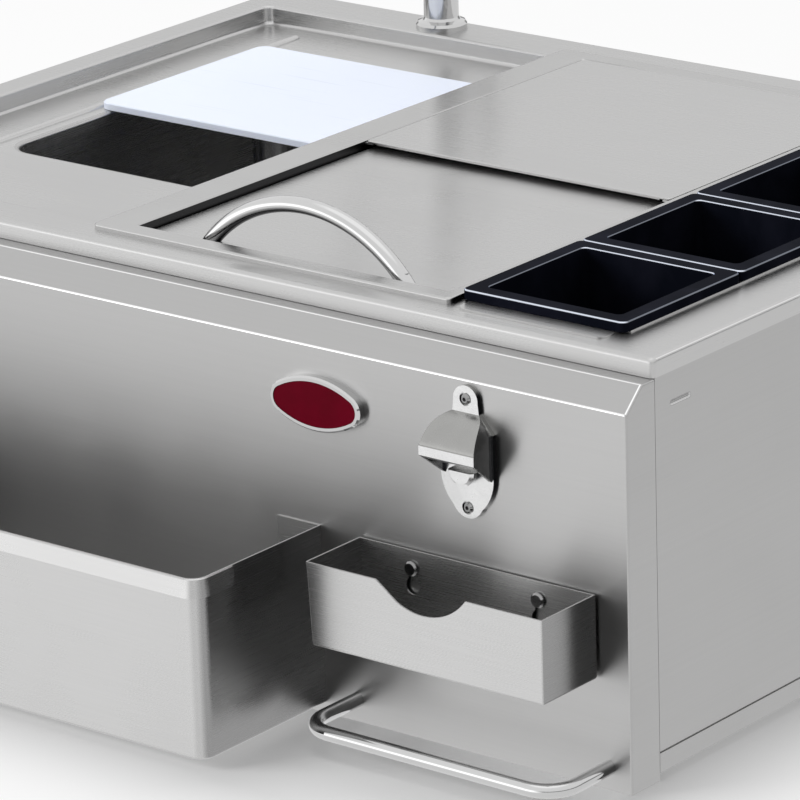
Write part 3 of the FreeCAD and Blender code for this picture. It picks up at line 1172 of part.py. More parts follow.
def opener_plate():
    """Round-ended tab above and a blunt shield shape below."""
    tab = OPENER_TAB_WIDTH / 2
    wide = OPENER_SHIELD_WIDTH / 2
    top = OPENER_TOP
    base = OPENER_TOP - OPENER_HEIGHT
    waist = top - HOOD_FOOT
    lower = base + OPENER_FOOT * 0.64

    def point(u, v):
        return Vector(OPENER_X + u, -OPENER_PLATE, v)

    right = [
        Part.LineSegment(point(tab - 0.8, top - tab), point(tab, top - HOOD_TOP)).toShape(),
        Part.LineSegment(point(tab, top - HOOD_TOP), point(wide, top - HOOD_EAVE)).toShape(),
        Part.LineSegment(point(wide, top - HOOD_EAVE), point(wide, waist)).toShape(),
        Part.Arc(point(wide, waist), point(wide * 0.84, waist - 12),
                 point(OPENER_FOOT, lower)).toShape(),
    ]
    left = [edge.mirror(Vector(OPENER_X, 0, 0), Vector(1, 0, 0)) for edge in right]
    ends = [
        Part.Arc(point(0.8 - tab, top - tab), point(0, top), point(tab - 0.8, top - tab)).toShape(),
        Part.Arc(point(OPENER_FOOT, lower), point(0, base), point(-OPENER_FOOT, lower)).toShape(),
    ]
    outline = Part.Wire(Part.__sortEdges__(right + left + ends))
    return Part.Face(outline).extrude(Vector(0, OPENER_PLATE, 0))


def opener_hood(inset):
    """Arched hood lofted from the panel to its lip. With an inset it is the mouth inside."""
    half = HOOD_WIDTH / 2
    # share of the reach, drop and half width of the crown, drop and half width of the eave
    stations = [(0.0, HOOD_TOP, OPENER_TAB_WIDTH / 2, HOOD_EAVE, half - 2.3),
                (0.25, HOOD_TOP + 2.5, half - 6.5, HOOD_EAVE + 1.4, half - 1.6),
                (0.54, HOOD_TOP + 6.1, half - 3.6, HOOD_EAVE + 3.7, half - 0.9),
                (0.83, HOOD_TOP + 12.2, half - 1.5, HOOD_EAVE + 6.8, half - 0.3),
                (1.0, HOOD_CREST, half - 0.5, HOOD_CREST + 1.2, half)]
    sections = []
    for share, crown, crown_half, eave, side in stations:
        foot = HOOD_FOOT + (HOOD_CREST + HOOD_LIP - HOOD_FOOT) * share
        y = -OPENER_PLATE - (HOOD_REACH - OPENER_PLATE) * share
        if inset:
            crown += 1.4 * inset
            crown_half -= inset / 2
            eave += inset
            side -= inset
            foot += 3 * inset
            y += inset * share
        corners = [(crown_half, crown), (side, eave), (side, foot)]
        outline = corners + [(-u, v) for u, v in reversed(corners)]
        points = [Vector(OPENER_X + u, y, OPENER_TOP - v) for u, v in outline]
        sections.append(Part.makePolygon(points + points[:1]))
    return Part.makeLoft(sections, True, False)


def opener_tooth():
    """Half-round tooth under the hood, hollowed below where the cap turns."""
    z = OPENER_TOP - TOOTH_TOP
    r = TOOTH_RADIUS
    out = -TOOTH_REACH
    tooth = cylinder(r, TOOTH_REACH, Vector(OPENER_X, out, z), Vector(0, 1, 0))
    tooth = tooth.makeChamfer(r / 5, edges_at(tooth, out, "y"))
    above = box(OPENER_X - 2 * r, OPENER_X + 2 * r, 2 * out, 1, z, z + 2 * r)
    hollow = polygon_prism([(-OPENER_PLATE, z - r / 3), (out - 1, z - r * 0.8),
                            (out - 1, z - 2 * r), (-OPENER_PLATE, z - 2 * r)],
                           "x", OPENER_X - r / 2, OPENER_X + r / 2)
    return tooth.cut(above).cut(hollow)


def opener_screws():
    seat = OPENER_SINK_DEPTH - OPENER_PLATE
    return [
        cone_screw(OPENER_HEAD_RADIUS, PANEL_HEAD_HEIGHT, PANEL_SCREW_RADIUS, PANEL_SCREW_LENGTH,
                   Vector(x, seat, z), Vector(0, -1, 0))
        for x, z in opener_screw_places()
    ]


# ---------------------------------------------------------------- cap catcher
def stud_places():
    middle = CATCHER_LEFT + CATCHER_WIDTH / 2
    return [(middle - KEYHOLE_PITCH / 2, STUD_Z), (middle + KEYHOLE_PITCH / 2, STUD_Z)]


def cap_catcher():
    """Open box with a scooped front that hangs on two studs by keyholes."""
    s = CATCHER_SHEET
    x0 = CATCHER_LEFT
    x1 = CATCHER_LEFT + CATCHER_WIDTH
    top = CATCHER_TOP
    low = CATCHER_TOP - CATCHER_HEIGHT
    y1 = CATCHER_BACK
    y0 = y1 - CATCHER_DEPTH
    lean = CATCHER_LEAN
    outline = [(x0, top), (x1, top), (x1, low), (x0 + lean, low)]
    shell = polygon_prism(outline, "y", y0, y1)
    folds = [
        edge for edge in shell.Edges
        if edge.BoundBox.ZMin < top - 1
        and not (edge.BoundBox.YMin > y1 - 0.1 and edge.BoundBox.ZLength > 1)
    ]
    shell = shell.makeFillet(CATCHER_FOLD, folds)
    inside = [(x0 + s, top + 1), (x1 - s, top + 1), (x1 - s, low + s), (x0 + lean + s, low + s)]
    shell = shell.cut(polygon_prism(inside, "y", y0 + s, y1 - s))
    shell = shell.cut(catcher_scoop(x0, top, y0))
    neck = STUD_RADIUS + KEYHOLE_CLEAR
    head = STUD_HEAD_RADIUS + KEYHOLE_CLEAR
    back = Vector(0, 1, 0)
    for x, z in stud_places():
        y = y1 - 3 * s
        keyhole = cylinder(neck, 4 * s, Vector(x, y, z), back)
        keyhole = keyhole.fuse([box(x - neck, x + neck, y, y1 + s, z - KEYHOLE_TRAVEL, z),
                                cylinder(head, 4 * s, Vector(x, y, z - KEYHOLE_TRAVEL), back)])
        shell = shell.cut(keyhole)
    return shell


def catcher_scoop(x0, top, y0):
    """The finger scoop: an eased slope on the left and a round rise on the right."""
    y = y0 - 3
    start = x0 + SCOOP_START
    left = Vector(start, y, top)
    slope_end = Vector(start + SCOOP_SLOPE, y, top - SCOOP_DEPTH * 0.72)
    bottom = Vector(start + SCOOP_BOTTOM, y, top - SCOOP_DEPTH)
    right = Vector(x0 + SCOOP_END, y, top)
    up = Vector(0, 0, 5)
    edges = [
        Part.LineSegment(left, slope_end).toShape(),
        Part.Arc(slope_end, bottom, right).toShape(),
        Part.LineSegment(right, right + up).toShape(),
        Part.LineSegment(right + up, left + up).toShape(),
        Part.LineSegment(left + up, left).toShape(),
    ]
    return Part.Face(Part.Wire(edges)).extrude(Vector(0, 6 + CATCHER_SHEET, 0))


def catcher_studs():
    """Shouldered studs: collar on the panel, neck in the keyhole and a round head."""
    studs = []
    neck = CATCHER_STANDOFF + CATCHER_SHEET + 2 * TOUCH
    out = Vector(0, -1, 0)
    for x, z in stud_places():
        collar = cylinder(STUD_COLLAR_RADIUS, CATCHER_STANDOFF - TOUCH, Vector(x, 0, z), out)
        shaft = cylinder(STUD_RADIUS, neck + STUD_INSIDE, Vector(x, STUD_INSIDE, z), out)
        head = cylinder(STUD_HEAD_RADIUS, STUD_HEAD_HEIGHT, Vector(x, -neck, z), out)
        head = head.makeChamfer(STUD_HEAD_HEIGHT / 2, edges_at(head, -neck - STUD_HEAD_HEIGHT, "y"))
        studs.append(collar.fuse([shaft, head]).removeSplitter())
    return studs


# ---------------------------------------------------------------- towel bar
def towel_ends():
    return [TOWEL_LEFT, TOWEL_LEFT + TOWEL_PITCH]


def towel_bar():
    left, right = towel_ends()
    points = [Vector(left, TOWEL_INSIDE, TOWEL_Z), Vector(left, -TOWEL_STANDOFF, TOWEL_Z),
              Vector(right, -TOWEL_STANDOFF, TOWEL_Z), Vector(right, TOWEL_INSIDE, TOWEL_Z)]
    return bent_bar(points, TOWEL_BEND, TOWEL_RADIUS)


def towel_bar_nuts():
    """A nut on each end of the bar, behind the front panel."""
    return [
        hexagon_nut(2 * TOWEL_NUT_RADIUS, TOWEL_RADIUS, TOWEL_NUT_HEIGHT,
                    Vector(x, SHEET, TOWEL_Z), Vector(0, 1, 0))
        for x in towel_ends()
    ]


# ---------------------------------------------------------------- badge
def oval_block(width, height, y0, y1):
    """An upright oval of two broad and two tight arcs, centred where the badge sits."""
    a = width / 2
    b = height / 2
    tight = b * b / a * 1.25       # end radius, a little fuller than the ellipse's own
    broad = (a * a + b * b - 2 * a * tight) / (2 * (b - tight))
    lean = math.atan2(a - tight, broad - b)
    x = a - tight + tight * math.sin(lean)
    z = tight * math.cos(lean)
    p = [Vector(BADGE_X + u, y0, BADGE_Z + v) for u, v in
         ((-x, z), (0, b), (x, z), (a, 0), (x, -z), (0, -b), (-x, -z), (-a, 0))]
    arcs = [Part.Arc(p[0], p[1], p[2]).toShape(), Part.Arc(p[2], p[3], p[4]).toShape(),
            Part.Arc(p[4], p[5], p[6]).toShape(), Part.Arc(p[6], p[7], p[0]).toShape()]
    return Part.Face(Part.Wire(arcs)).extrude(Vector(0, y1 - y0, 0))


def badge_bezel():
    """Oval ring with a rounded edge and a recessed field."""
    block = oval_block(BADGE_WIDTH, BADGE_HEIGHT, -BADGE_THICKNESS, 0)
    block = block.makeChamfer(1.2, edges_at(block, -BADGE_THICKNESS, "y"))
    field = oval_block(BADGE_WIDTH - 2 * BADGE_RIM, BADGE_HEIGHT - 2 * BADGE_RIM,
                       -BADGE_THICKNESS - 1, -BADGE_THICKNESS + BADGE_RECESS)
    return block.cut(field)


def badge_inlay():
    """Bare enamel field inside the ring."""
    back = -BADGE_THICKNESS + BADGE_RECESS
    return oval_block(BADGE_WIDTH - 2 * BADGE_RIM - 0.1, BADGE_HEIGHT - 2 * BADGE_RIM - 0.1,
                      back - ENAMEL, back)


# ---------------------------------------------------------------- write the pieces
def save(name, pieces):
    """Move a piece, or a group of like pieces, to the cabinet's origin and write it."""
    shape = Part.makeCompound(pieces) if isinstance(pieces, list) else pieces
    shape = shape.copy()
    shape.translate(Vector(0, -CABINET_DEPTH / 2, 0))
    shape.exportStep(os.path.join("parts", name + ".step"))
    extent = shape.BoundBox
    print("%-22s solids %d valid %s  x %.1f..%.1f  y %.1f..%.1f  z %.1f..%.1f" % (
        name, len(shape.Solids), shape.isValid(), extent.XMin, extent.XMax,
        extent.YMin, extent.YMax, extent.ZMin, extent.ZMax))


def main():
    os.makedirs("parts", exist_ok=True)
    save("front_panel", front_panel())
    save("right_side_panel", side_panel(1))
    save("left_side_panel", side_panel(-1))
    save("rear_panel", rear_panel())
    save("base_pan", base_pan())
    save("top_deck", top_deck())
    save("sink_deck", sink_deck())
    save("sink_bowl", sink_bowl())
    save("sink_strainer_body", sink_strainer_body())
    save("strainer_basket", strainer_basket())
    save("sink_drain_gasket", sink_drain_gasket())
    save("sink_drain_nut", sink_drain_nut())
    save("sink_tailpiece", sink_tailpiece())
    save("sink_slip_nut", sink_slip_nut())
    save("cutting_board", cutting_board())
    save("ice_bin_frame", ice_bin_frame())
    save("rear_lid_shelf", rear_lid_shelf())
    save("ice_bin_liner", ice_bin_liner())
    save("bin_insulation", bin_insulation())
    save("bin_drain_nipple", bin_drain_nipple())
    save("bin_drain_gasket", bin_drain_gasket())
    save("bin_drain_nut", bin_drain_nut())
    save("front_lid", front_lid())
    save("lid_handle", lid_handle())
    save("handle_screws", handle_screws())
    save("rear_lid", rear_lid())
    save("tray_well", tray_well())
    for index in range(TRAY_COUNT):
        save("condiment_tray_%d" % (index + 1), condiment_tray(index))
    save("faucet_body", faucet_body())
    save("faucet_washer", faucet_washer())
    save("faucet_nut", faucet_nut())
    save("faucet_spout", faucet_spout())
    save("spout_aerator", spout_aerator())
    save("faucet_lever", faucet_lever())
    save("speed_rail", speed_rail())
    save("rail_screws", rail_screws())
    save("bottle_opener", bottle_opener())
    save("opener_screws", opener_screws())
    save("cap_catcher", cap_catcher())
    save("catcher_studs", catcher_studs())
    save("towel_bar", towel_bar())
    save("towel_bar_nuts", towel_bar_nuts())
    save("badge_bezel", badge_bezel())
    save("badge_inlay", badge_inlay())


main()
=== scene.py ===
import math

import bmesh
import bpy
from mathutils import Matrix, Vector


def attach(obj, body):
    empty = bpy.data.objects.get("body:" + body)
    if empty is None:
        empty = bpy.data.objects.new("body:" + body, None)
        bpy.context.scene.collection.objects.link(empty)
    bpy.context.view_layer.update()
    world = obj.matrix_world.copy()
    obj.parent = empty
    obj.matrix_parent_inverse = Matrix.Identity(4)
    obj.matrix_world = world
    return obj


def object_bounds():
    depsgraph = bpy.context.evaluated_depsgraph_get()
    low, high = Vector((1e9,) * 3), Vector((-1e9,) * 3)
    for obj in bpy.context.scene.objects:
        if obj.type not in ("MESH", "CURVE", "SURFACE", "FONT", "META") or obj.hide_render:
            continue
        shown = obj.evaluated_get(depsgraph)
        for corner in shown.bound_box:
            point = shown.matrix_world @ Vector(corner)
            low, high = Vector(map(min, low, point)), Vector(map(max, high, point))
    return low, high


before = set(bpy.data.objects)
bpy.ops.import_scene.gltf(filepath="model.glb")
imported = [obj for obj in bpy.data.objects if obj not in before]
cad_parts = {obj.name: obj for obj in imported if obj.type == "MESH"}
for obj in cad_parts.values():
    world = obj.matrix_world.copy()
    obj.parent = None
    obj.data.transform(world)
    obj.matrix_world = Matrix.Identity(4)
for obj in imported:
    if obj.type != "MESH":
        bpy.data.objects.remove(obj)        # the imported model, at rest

CAD_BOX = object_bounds()
MM = 0.001
WHITE = (1.0, 1.0, 1.0, 1.0)
UNLIT = (0.01, 0.01, 0.012, 1)  # steel in deep shade

# the camera, in metres and degrees
CAMERA_PLACE = Vector((2.2591, -2.8348, 1.3290))
CAMERA_AZIMUTH = 38.97
CAMERA_ELEVATION = 18.70
CAMERA_ROLL = -1.73
CAMERA_LENS = 249.8
SENSOR = 36.0

# the studio's light, as shares of white
FLOOR_LIGHT = 0.86              # paper as the steel mirrors it
WALL_LIGHT = 0.97               # the walls
WINDOW_LIGHT = 0.9              # added low down at the front left
CEILING_LIGHT = 0.3             # added overhead
HORIZON_SHADE = 0.8             # lost in the gap between floor and walls
UNLIT_LIGHT = 0.09              # what the dark side keeps, as second reflections see it
SOFT_LIGHT = 0.5                # the walls' own light on matt surfaces
SOFT_UNLIT = 0.3                # and what the dark side keeps of that

# headings on the ground in degrees, and how squarely a direction points along them at the edges
BRIGHT_HEADING, BRIGHT_EDGES = -39.0, (0.5, 0.85)       # the wall by the front softbox
DARK_HEADING, DARK_EDGES = 38.97, (0.87, 0.97)          # the unlit wall

# soft edges by the height of a direction, from -1 straight down to 1 straight up
WALL_RISE = (-0.1, 0.3)
WINDOW_SILL, WINDOW_HEAD = (-0.28, -0.1), (0.1, 0.3)
GAP_FOOT, GAP_HEAD = (-0.02, 0.04), (0.12, 0.2)
UNLIT_HEAD = (0.35, 0.6)
CEILING_EDGE = (0.84, 0.93)

FLOOR_RADIUS = 30.0
FLOOR_DROP = 0.5 * MM           # under the object's lowest point
SHADE_REACH = 0.12              # how far the object's soft shade spreads on the floor

# lamps: name, place, aim, size and watts
SOFTBOXES = (
    ("top_softbox", (-0.6, 0.5, 2.6), (0, 0, 0.2), (2.2, 1.6), 38.0),
    ("front_softbox", (-2.2, -2.6, 1.5), (0, 0, 0.15), (1.6, 1.2), 60.0),
)

# finishes
GRAIN_FINENESS, GRAIN_STRETCH = 3200.0, 9.0             # across and along the scratches
GRAIN_CROSS = 0.8               # how much the sheen spreads across the grain
STEEL_WARMTH = 0.004
OPENER_PLATE_FACE = -0.3028     # front of the opener's wall plate
TRAY_RIM_FOOT = 0.272           # under the trays' rims; above it their rounded edges carry a painted highlight

# the slots in the side panels, and the pan in them by its steps in from the outline and the face
SLOT_LENGTH, SLOT_HEIGHT = 22.0 * MM, 4.0 * MM
SLOT_MIDDLE, SLOT_LEVEL = -0.2420, 0.2423
SLOT_PAN = ((0.0, 0.05), (0.25, 0.1), (1.1, 0.95))

# threads: name, middle, pipe radius, bottom, top and pitch
THREADS = (
    ("drain_thread", (-0.198, 0.0365), 22.0 * MM, 0.0705, 0.0945, 2.2 * MM),
    ("nipple_thread", (0.150, -0.1675), 13.35 * MM, 0.012, 0.031, 1.8 * MM),
    ("shank_thread", (-0.207, 0.276), 11.0 * MM, 0.2535, 0.2615, 1.5 * MM),
)
THREAD_STEPS = 32               # per turn
THREAD_DEPTH = 0.55             # in pitches, as are the half widths of its foot and crest
THREAD_FOOT, THREAD_CREST = 0.46, 0.05
BURIED = 0.1 * MM               # how far ridges start inside the pipe they stand on

# the aerator's grip
SPOUT_MOUTH = (-0.207, 0.152)
GRIP_RADIUS, GRIP_LOW, GRIP_HIGH = 10.0 * MM, 0.4330, 0.4405
GRIP_RIBS, GRIP_PROUD = 36, 0.35 * MM
GRIP_BEVEL, GRIP_FADE = 0.5 * MM, -0.2                  # the ribs sink by this share at both ends
GRIP_LIP = 0.95                 # inner edge of its end faces

# folds: how far back and how high the panel's two folds lie, and the deck's side edges
LOWER_FOLD, UPPER_FOLD = (-0.2975, 0.2470), (-0.2811, 0.2622)
PANEL_END = 0.3795
DECK_SIDE, DECK_LEVEL = 0.38012, 0.27412
DECK_FRONT, DECK_BACK = -0.2655, 0.2930
FOLD_RADIUS, FOLD_SIDES = 1.2 * MM, 12


# ---------------------------------------------------------------- node helpers

def put(tree, kind, sockets=None, **settings):
    """A new node with its settings, its socket values and its incoming links."""
    node = tree.nodes.new(kind)
    for name, value in settings.items():
        setattr(node, name, value)
    for name, value in (sockets or {}).items():
        if isinstance(value, bpy.types.NodeSocket):
            tree.links.new(value, node.inputs[name])
        else:
            node.inputs[name].default_value = value
    return node


def number(tree, operation, a, b=0.0, c=0.0):
    """The result of one sum on numbers or sockets."""
    return put(tree, "ShaderNodeMath", {0: a, 1: b, 2: c}, operation=operation).outputs[0]


def vector(tree, operation, a, b=(0, 0, 0)):
    """The result of one sum on vectors. A dot product or a length is a number."""
    outputs = put(tree, "ShaderNodeVectorMath", {0: a, 1: b}, operation=operation).outputs
    return outputs["Value" if operation in ("DOT_PRODUCT", "LENGTH") else "Vector"]


def spread(tree, value, low, high, to_low=0.0, to_high=1.0):
    """Maps value from low..high to to_low..to_high, and holds it at the ends."""
    return put(tree, "ShaderNodeMapRange", {"Value": value, "From Min": low, "From Max": high,
                                            "To Min": to_low, "To Max": to_high}).outputs[0]


def between(tree, value, rise, fall):
    """1 where the value lies between two soft edges, and 0 beyond them."""
    return number(tree, "MULTIPLY", spread(tree, value, *rise), spread(tree, value, *fall, 1.0, 0.0))


def tinted(tree, share, first, second):
    """A colour between two colours."""
    return put(tree, "ShaderNodeMix", {"Factor": share, 6: first, 7: second},
               data_type="RGBA").outputs[2]


def object_place(tree):
    """Where a point lies on the object, in metres."""
    return put(tree, "ShaderNodeTexCoord").outputs["Object"]


def noise(tree, place, scale, detail, **sockets):
    """Cloudy noise, mostly from 0.3 to 0.7."""
    values = {"Vector": place, "Scale": scale, "Detail": detail, **sockets}
    return put(tree, "ShaderNodeTexNoise", values).outputs[0]


def relief(tree, height, strength, distance):
    """A normal that is bent by a height."""
    return put(tree, "ShaderNodeBump", {"Height": height, "Strength": strength,
                                        "Distance": distance}).outputs[0]


def new_group(name, inputs, outputs):
    """An empty shader node group with named inputs and outputs."""
    group = bpy.data.node_groups.new(name, "ShaderNodeTree")
    for label, kind, value in inputs:
        socket = group.interface.new_socket(label, in_out="INPUT", socket_type=kind)
        socket.default_value = value
    for label, kind in outputs:
        group.interface.new_socket(label, in_out="OUTPUT", socket_type=kind)
    return group, group.nodes.new("NodeGroupInput").outputs, group.nodes.new("NodeGroupOutput")


# ---------------------------------------------------------------- shared effects

def brushed_grain():
    """Long fine scratches. They run along X, and along Y on faces that look sideways."""
    group, _, out = new_group("brushed_grain", [],
                              [("Streaks", "NodeSocketFloat"), ("Bands", "NodeSocketFloat")])
    place = put(group, "ShaderNodeTexCoord").outputs
    facing = put(group, "ShaderNodeSeparateXYZ", {0: place["Normal"]}).outputs[0]
    sideways = number(group, "GREATER_THAN", number(group, "ABSOLUTE", facing), 0.7)
    along_x = (GRAIN_STRETCH, GRAIN_FINENESS, GRAIN_FINENESS)
    along_y = (GRAIN_FINENESS, GRAIN_STRETCH, GRAIN_FINENESS)
    scale = put(group, "ShaderNodeMix", {"Factor": sideways, 4: along_x, 5: along_y},
                data_type="VECTOR").outputs[1]
    point = vector(group, "MULTIPLY", place["Object"], scale)
    streaks = noise(group, point, 1.0, 2.0, Roughness=0.6)
    bands = noise(group, vector(group, "MULTIPLY", point, (0.3, 0.16, 0.16)), 1.0, 1.0)
    group.links.new(streaks, out.inputs["Streaks"])
    group.links.new(bands, out.inputs["Bands"])
    return group


def handling_marks():
    """Faint cloudy smears and a few hair scratches from use."""
    group, given, out = new_group(
        "handling_marks",
        [("Scale", "NodeSocketFloat", 9.0)],
        [("Smears", "NodeSocketFloat"), ("Scratches", "NodeSocketFloat")])
    place = object_place(group)
    cloud = noise(group, place, given["Scale"], 4.0, Roughness=0.55, Distortion=0.4)
    turned = put(group, "ShaderNodeMapping", {"Vector": place, "Rotation": (0.6, 0.5, 0.7),
                                              "Scale": (12.0, 420.0, 420.0)}).outputs[0]
    hair = noise(group, turned, 1.0, 1.0)
    group.links.new(spread(group, cloud, 0.42, 0.68), out.inputs["Smears"])
    group.links.new(spread(group, hair, 0.68, 0.76), out.inputs["Scratches"])
    return group


GRAIN = brushed_grain()
MARKS = handling_marks()


def marks_on(tree, scale=9.0):
    """The smears and scratches of use. The smears are smaller as the scale grows."""
    return put(tree, "ShaderNodeGroup", {"Scale": scale}, node_tree=MARKS).outputs


# ---------------------------------------------------------------- finishes

def finish_named(name):
    """An empty material with a shader and an output."""
    material = bpy.data.materials.new(name)
    material.use_nodes = True
    tree = material.node_tree
    tree.nodes.clear()
    shader = put(tree, "ShaderNodeBsdfPrincipled")
    put(tree, "ShaderNodeOutputMaterial", {"Surface": shader.outputs[0]})
    return material, tree, shader


def join(tree, shader, **sockets):
    """Feeds the shader's sockets, with spaces for underscores in their names."""
    for name, value in sockets.items():
        socket = shader.inputs[name.replace("_", " ")]
        if isinstance(value, bpy.types.NodeSocket):
            tree.links.new(value, socket)
        else:
            socket.default_value = value


def facing_of(tree):
    """How far a surface faces right, front and up, from -1 to 1."""
    normal = put(tree, "ShaderNodeTexCoord").outputs["Normal"]
    right, back, up = put(tree, "ShaderNodeSeparateXYZ", {0: normal}).outputs
    return right, number(tree, "MULTIPLY", back, -1.0), up


def steel_tone(level):
    """A grey that is a touch warm."""
    return level, level - STEEL_WARMTH * 0.5, level - STEEL_WARMTH, 1


def brushed_steel(name, tone, roughness, painted_shade=0.0):
    """Sheet steel with a fine drawn grain, uneven sheen and faint smears.

    Its last argument paints shade: it darkens every face that looks right toward near-black
    steel, the walls inside the frame, rail, catcher and slots, which get little light, and the
    right ends of the rail and catcher with them.
    """
    material, tree, shader = finish_named(name)
    grain = put(tree, "ShaderNodeGroup", node_tree=GRAIN).outputs
    marks = marks_on(tree)
    streaks, bands = grain["Streaks"], grain["Bands"]
    mixed = number(tree, "ADD", number(tree, "MULTIPLY", streaks, 0.7),
                   number(tree, "MULTIPLY", bands, 0.3))
    colour = tinted(tree, spread(tree, mixed, 0.3, 0.7),
                    steel_tone(tone * 0.975), steel_tone(tone * 1.025))
    # painted shade: faces that look right fade toward near-black steel
    if painted_shade:
        right, _, _ = facing_of(tree)
        colour = tinted(tree, spread(tree, right, 0.7, 0.9, 0.0, painted_shade), colour, UNLIT)
    sheen = number(tree, "ADD", spread(tree, streaks, 0.3, 0.7, roughness - 0.02, roughness + 0.02),
                   number(tree, "MULTIPLY", marks["Smears"], 0.04))
    run = put(tree, "ShaderNodeCombineXYZ", {0: 1.0, 1: 0.15, 2: 0.0}).outputs[0]
    join(tree, shader, Base_Color=colour, Roughness=sheen, Normal=relief(tree, streaks, 0.03, 0.00004),
         Metallic=1.0, Anisotropic=GRAIN_CROSS, Anisotropic_Rotation=0.25, Tangent=run)
    return material


def polished_steel(name, painted_shade=0.0, bright=1.0):
    """Bright drawn bar and chromed brass. The second argument is painted shade on the undersides, the
    third a painted highlight.
    """
    material, tree, shader = finish_named(name)
    marks = marks_on(tree)
    roughness = number(tree, "ADD", number(tree, "MULTIPLY", marks["Smears"], 0.05),
                       number(tree, "MULTIPLY_ADD", marks["Scratches"], 0.12, 0.07))
    light, dark = 0.66 * bright, 0.60 * bright
    colour = tinted(tree, marks["Smears"], (light, light, light, 1), (dark, dark, dark, 1))
    # painted shade: undersides fade toward near-black
    if painted_shade:
        _, _, up = facing_of(tree)
        colour = tinted(tree, spread(tree, up, -0.5, -0.15, painted_shade, 0.0), colour, UNLIT)
    join(tree, shader, Base_Color=colour, Roughness=roughness, Metallic=1.0)
    return material


def cast_metal():
    """Plating over a cast surface, painted with light and shade: a bright plate, a greyer hood and dark
    right-hand cheeks.
    """
    material, tree, shader = finish_named("cast_opener")
    place = object_place(tree)
    skin, swell = noise(tree, place, 420.0, 3.0), noise(tree, place, 70.0, 2.0)
    height = number(tree, "ADD", number(tree, "MULTIPLY", skin, 0.35), swell)
    right, _, up = facing_of(tree)
    # painted light: the plate, which faces front, lighter; the hood, which faces up, darker
    plate = tinted(tree, swell, (0.80, 0.80, 0.80, 1), (0.90, 0.90, 0.90, 1))
    shaded_hood = tinted(tree, swell, (0.37, 0.37, 0.36, 1), (0.42, 0.42, 0.41, 1))
    colour = tinted(tree, spread(tree, up, 0.12, 0.3), plate, shaded_hood)
    # painted shade on faces that look right: near-black on the plate's side, grey on the hood's cheeks
    depth = put(tree, "ShaderNodeSeparateXYZ", {0: place}).outputs[1]
    cheek = spread(tree, depth, OPENER_PLATE_FACE - MM, OPENER_PLATE_FACE, 1.0, 0.0)
    right_face_shade = tinted(tree, cheek, (0.05, 0.05, 0.055, 1), (0.34, 0.34, 0.34, 1))
    colour = tinted(tree, spread(tree, right, 0.75, 0.92), colour, right_face_shade)
    join(tree, shader, Base_Color=colour, Roughness=spread(tree, skin, 0.3, 0.7, 0.16, 0.28),
         Normal=relief(tree, height, 0.3, 0.0003), Metallic=1.0)
    return material


def turned_steel():
    """Machined screws and nuts."""
    material, tree, shader = finish_named("screw_steel")
    smears = marks_on(tree, 120.0)["Smears"]
    colour = tinted(tree, smears, (0.36, 0.36, 0.36, 1), (0.28, 0.28, 0.28, 1))
    join(tree, shader, Base_Color=colour, Roughness=spread(tree, smears, 0, 1, 0.1, 0.2), Metallic=1.0)
    return material


def gloss_plastic():
    """Black moulded trays: glossy, with dust-fine scuffs and a painted highlight, a pale metallic line on
    the rims' rounded edges.
    """
    material, tree, shader = finish_named("black_tray")
    marks = marks_on(tree, 26.0)
    place = object_place(tree)
    roughness = number(tree, "ADD", spread(tree, marks["Smears"], 0, 1, 0.08, 0.14),
                       number(tree, "MULTIPLY", marks["Scratches"], 0.15))
    body = tinted(tree, marks["Smears"], (0.006, 0.007, 0.012, 1), (0.011, 0.012, 0.020, 1))
    # painted highlight: rounded rim edges above the rim foot turn pale and metallic, most where they face
    # the front
    _, front, up = facing_of(tree)
    rounded = between(tree, up, (0.2, 0.45), (0.8, 0.96))
    height = put(tree, "ShaderNodeSeparateXYZ", {0: place}).outputs[2]
    on_rim = spread(tree, height, TRAY_RIM_FOOT, TRAY_RIM_FOOT + MM)
    painted_rim_highlight = number(tree, "MULTIPLY", rounded, on_rim)
    ahead = spread(tree, front, 0.1, 0.5, 0.25, 1.0)
    colour = tinted(tree, number(tree, "MULTIPLY", painted_rim_highlight, ahead), body, (0.75, 0.80, 0.90, 1))
    join(tree, shader, Base_Color=colour, Roughness=roughness, Metallic=painted_rim_highlight, IOR=1.06,
         Normal=relief(tree, noise(tree, place, 55.0, 2.0), 0.12, 0.0005),
         Specular_IOR_Level=0.1, Specular_Tint=(0.75, 0.82, 1.0, 1.0))
    return material


def board_plastic():
    """Milky cutting board, lightly scored."""
    material, tree, shader = finish_named("white_board")
    grain = noise(tree, object_place(tree), 900.0, 2.0)
    knife = marks_on(tree)["Scratches"]
    height = number(tree, "SUBTRACT", number(tree, "MULTIPLY", grain, 0.5),
                    number(tree, "MULTIPLY", knife, 0.6))
    colour = tinted(tree, knife, (0.78, 0.83, 0.95, 1), (0.72, 0.77, 0.89, 1))
    join(tree, shader, Base_Color=colour, Roughness=spread(tree, grain, 0.3, 0.7, 0.38, 0.5),
         Normal=relief(tree, height, 0.25, 0.0002), Subsurface_Weight=0.15,
         Subsurface_Radius=(0.004, 0.004, 0.005), Subsurface_Scale=1.0)
    return material


def enamel():
    """Clear glass over deep red."""
    material, tree, shader = finish_named("red_enamel")
    depth = noise(tree, object_place(tree), 60.0, 3.0)
    colour = tinted(tree, depth, (0.09, 0.0, 0.006, 1), (0.16, 0.0, 0.012, 1))
    join(tree, shader, Base_Color=colour, Roughness=spread(tree, depth, 0.3, 0.7, 0.3, 0.4),
         Normal=relief(tree, depth, 0.15, 0.0005), Specular_IOR_Level=0.08,
         Specular_Tint=(1.0, 0.3, 0.3, 1.0))
    return material


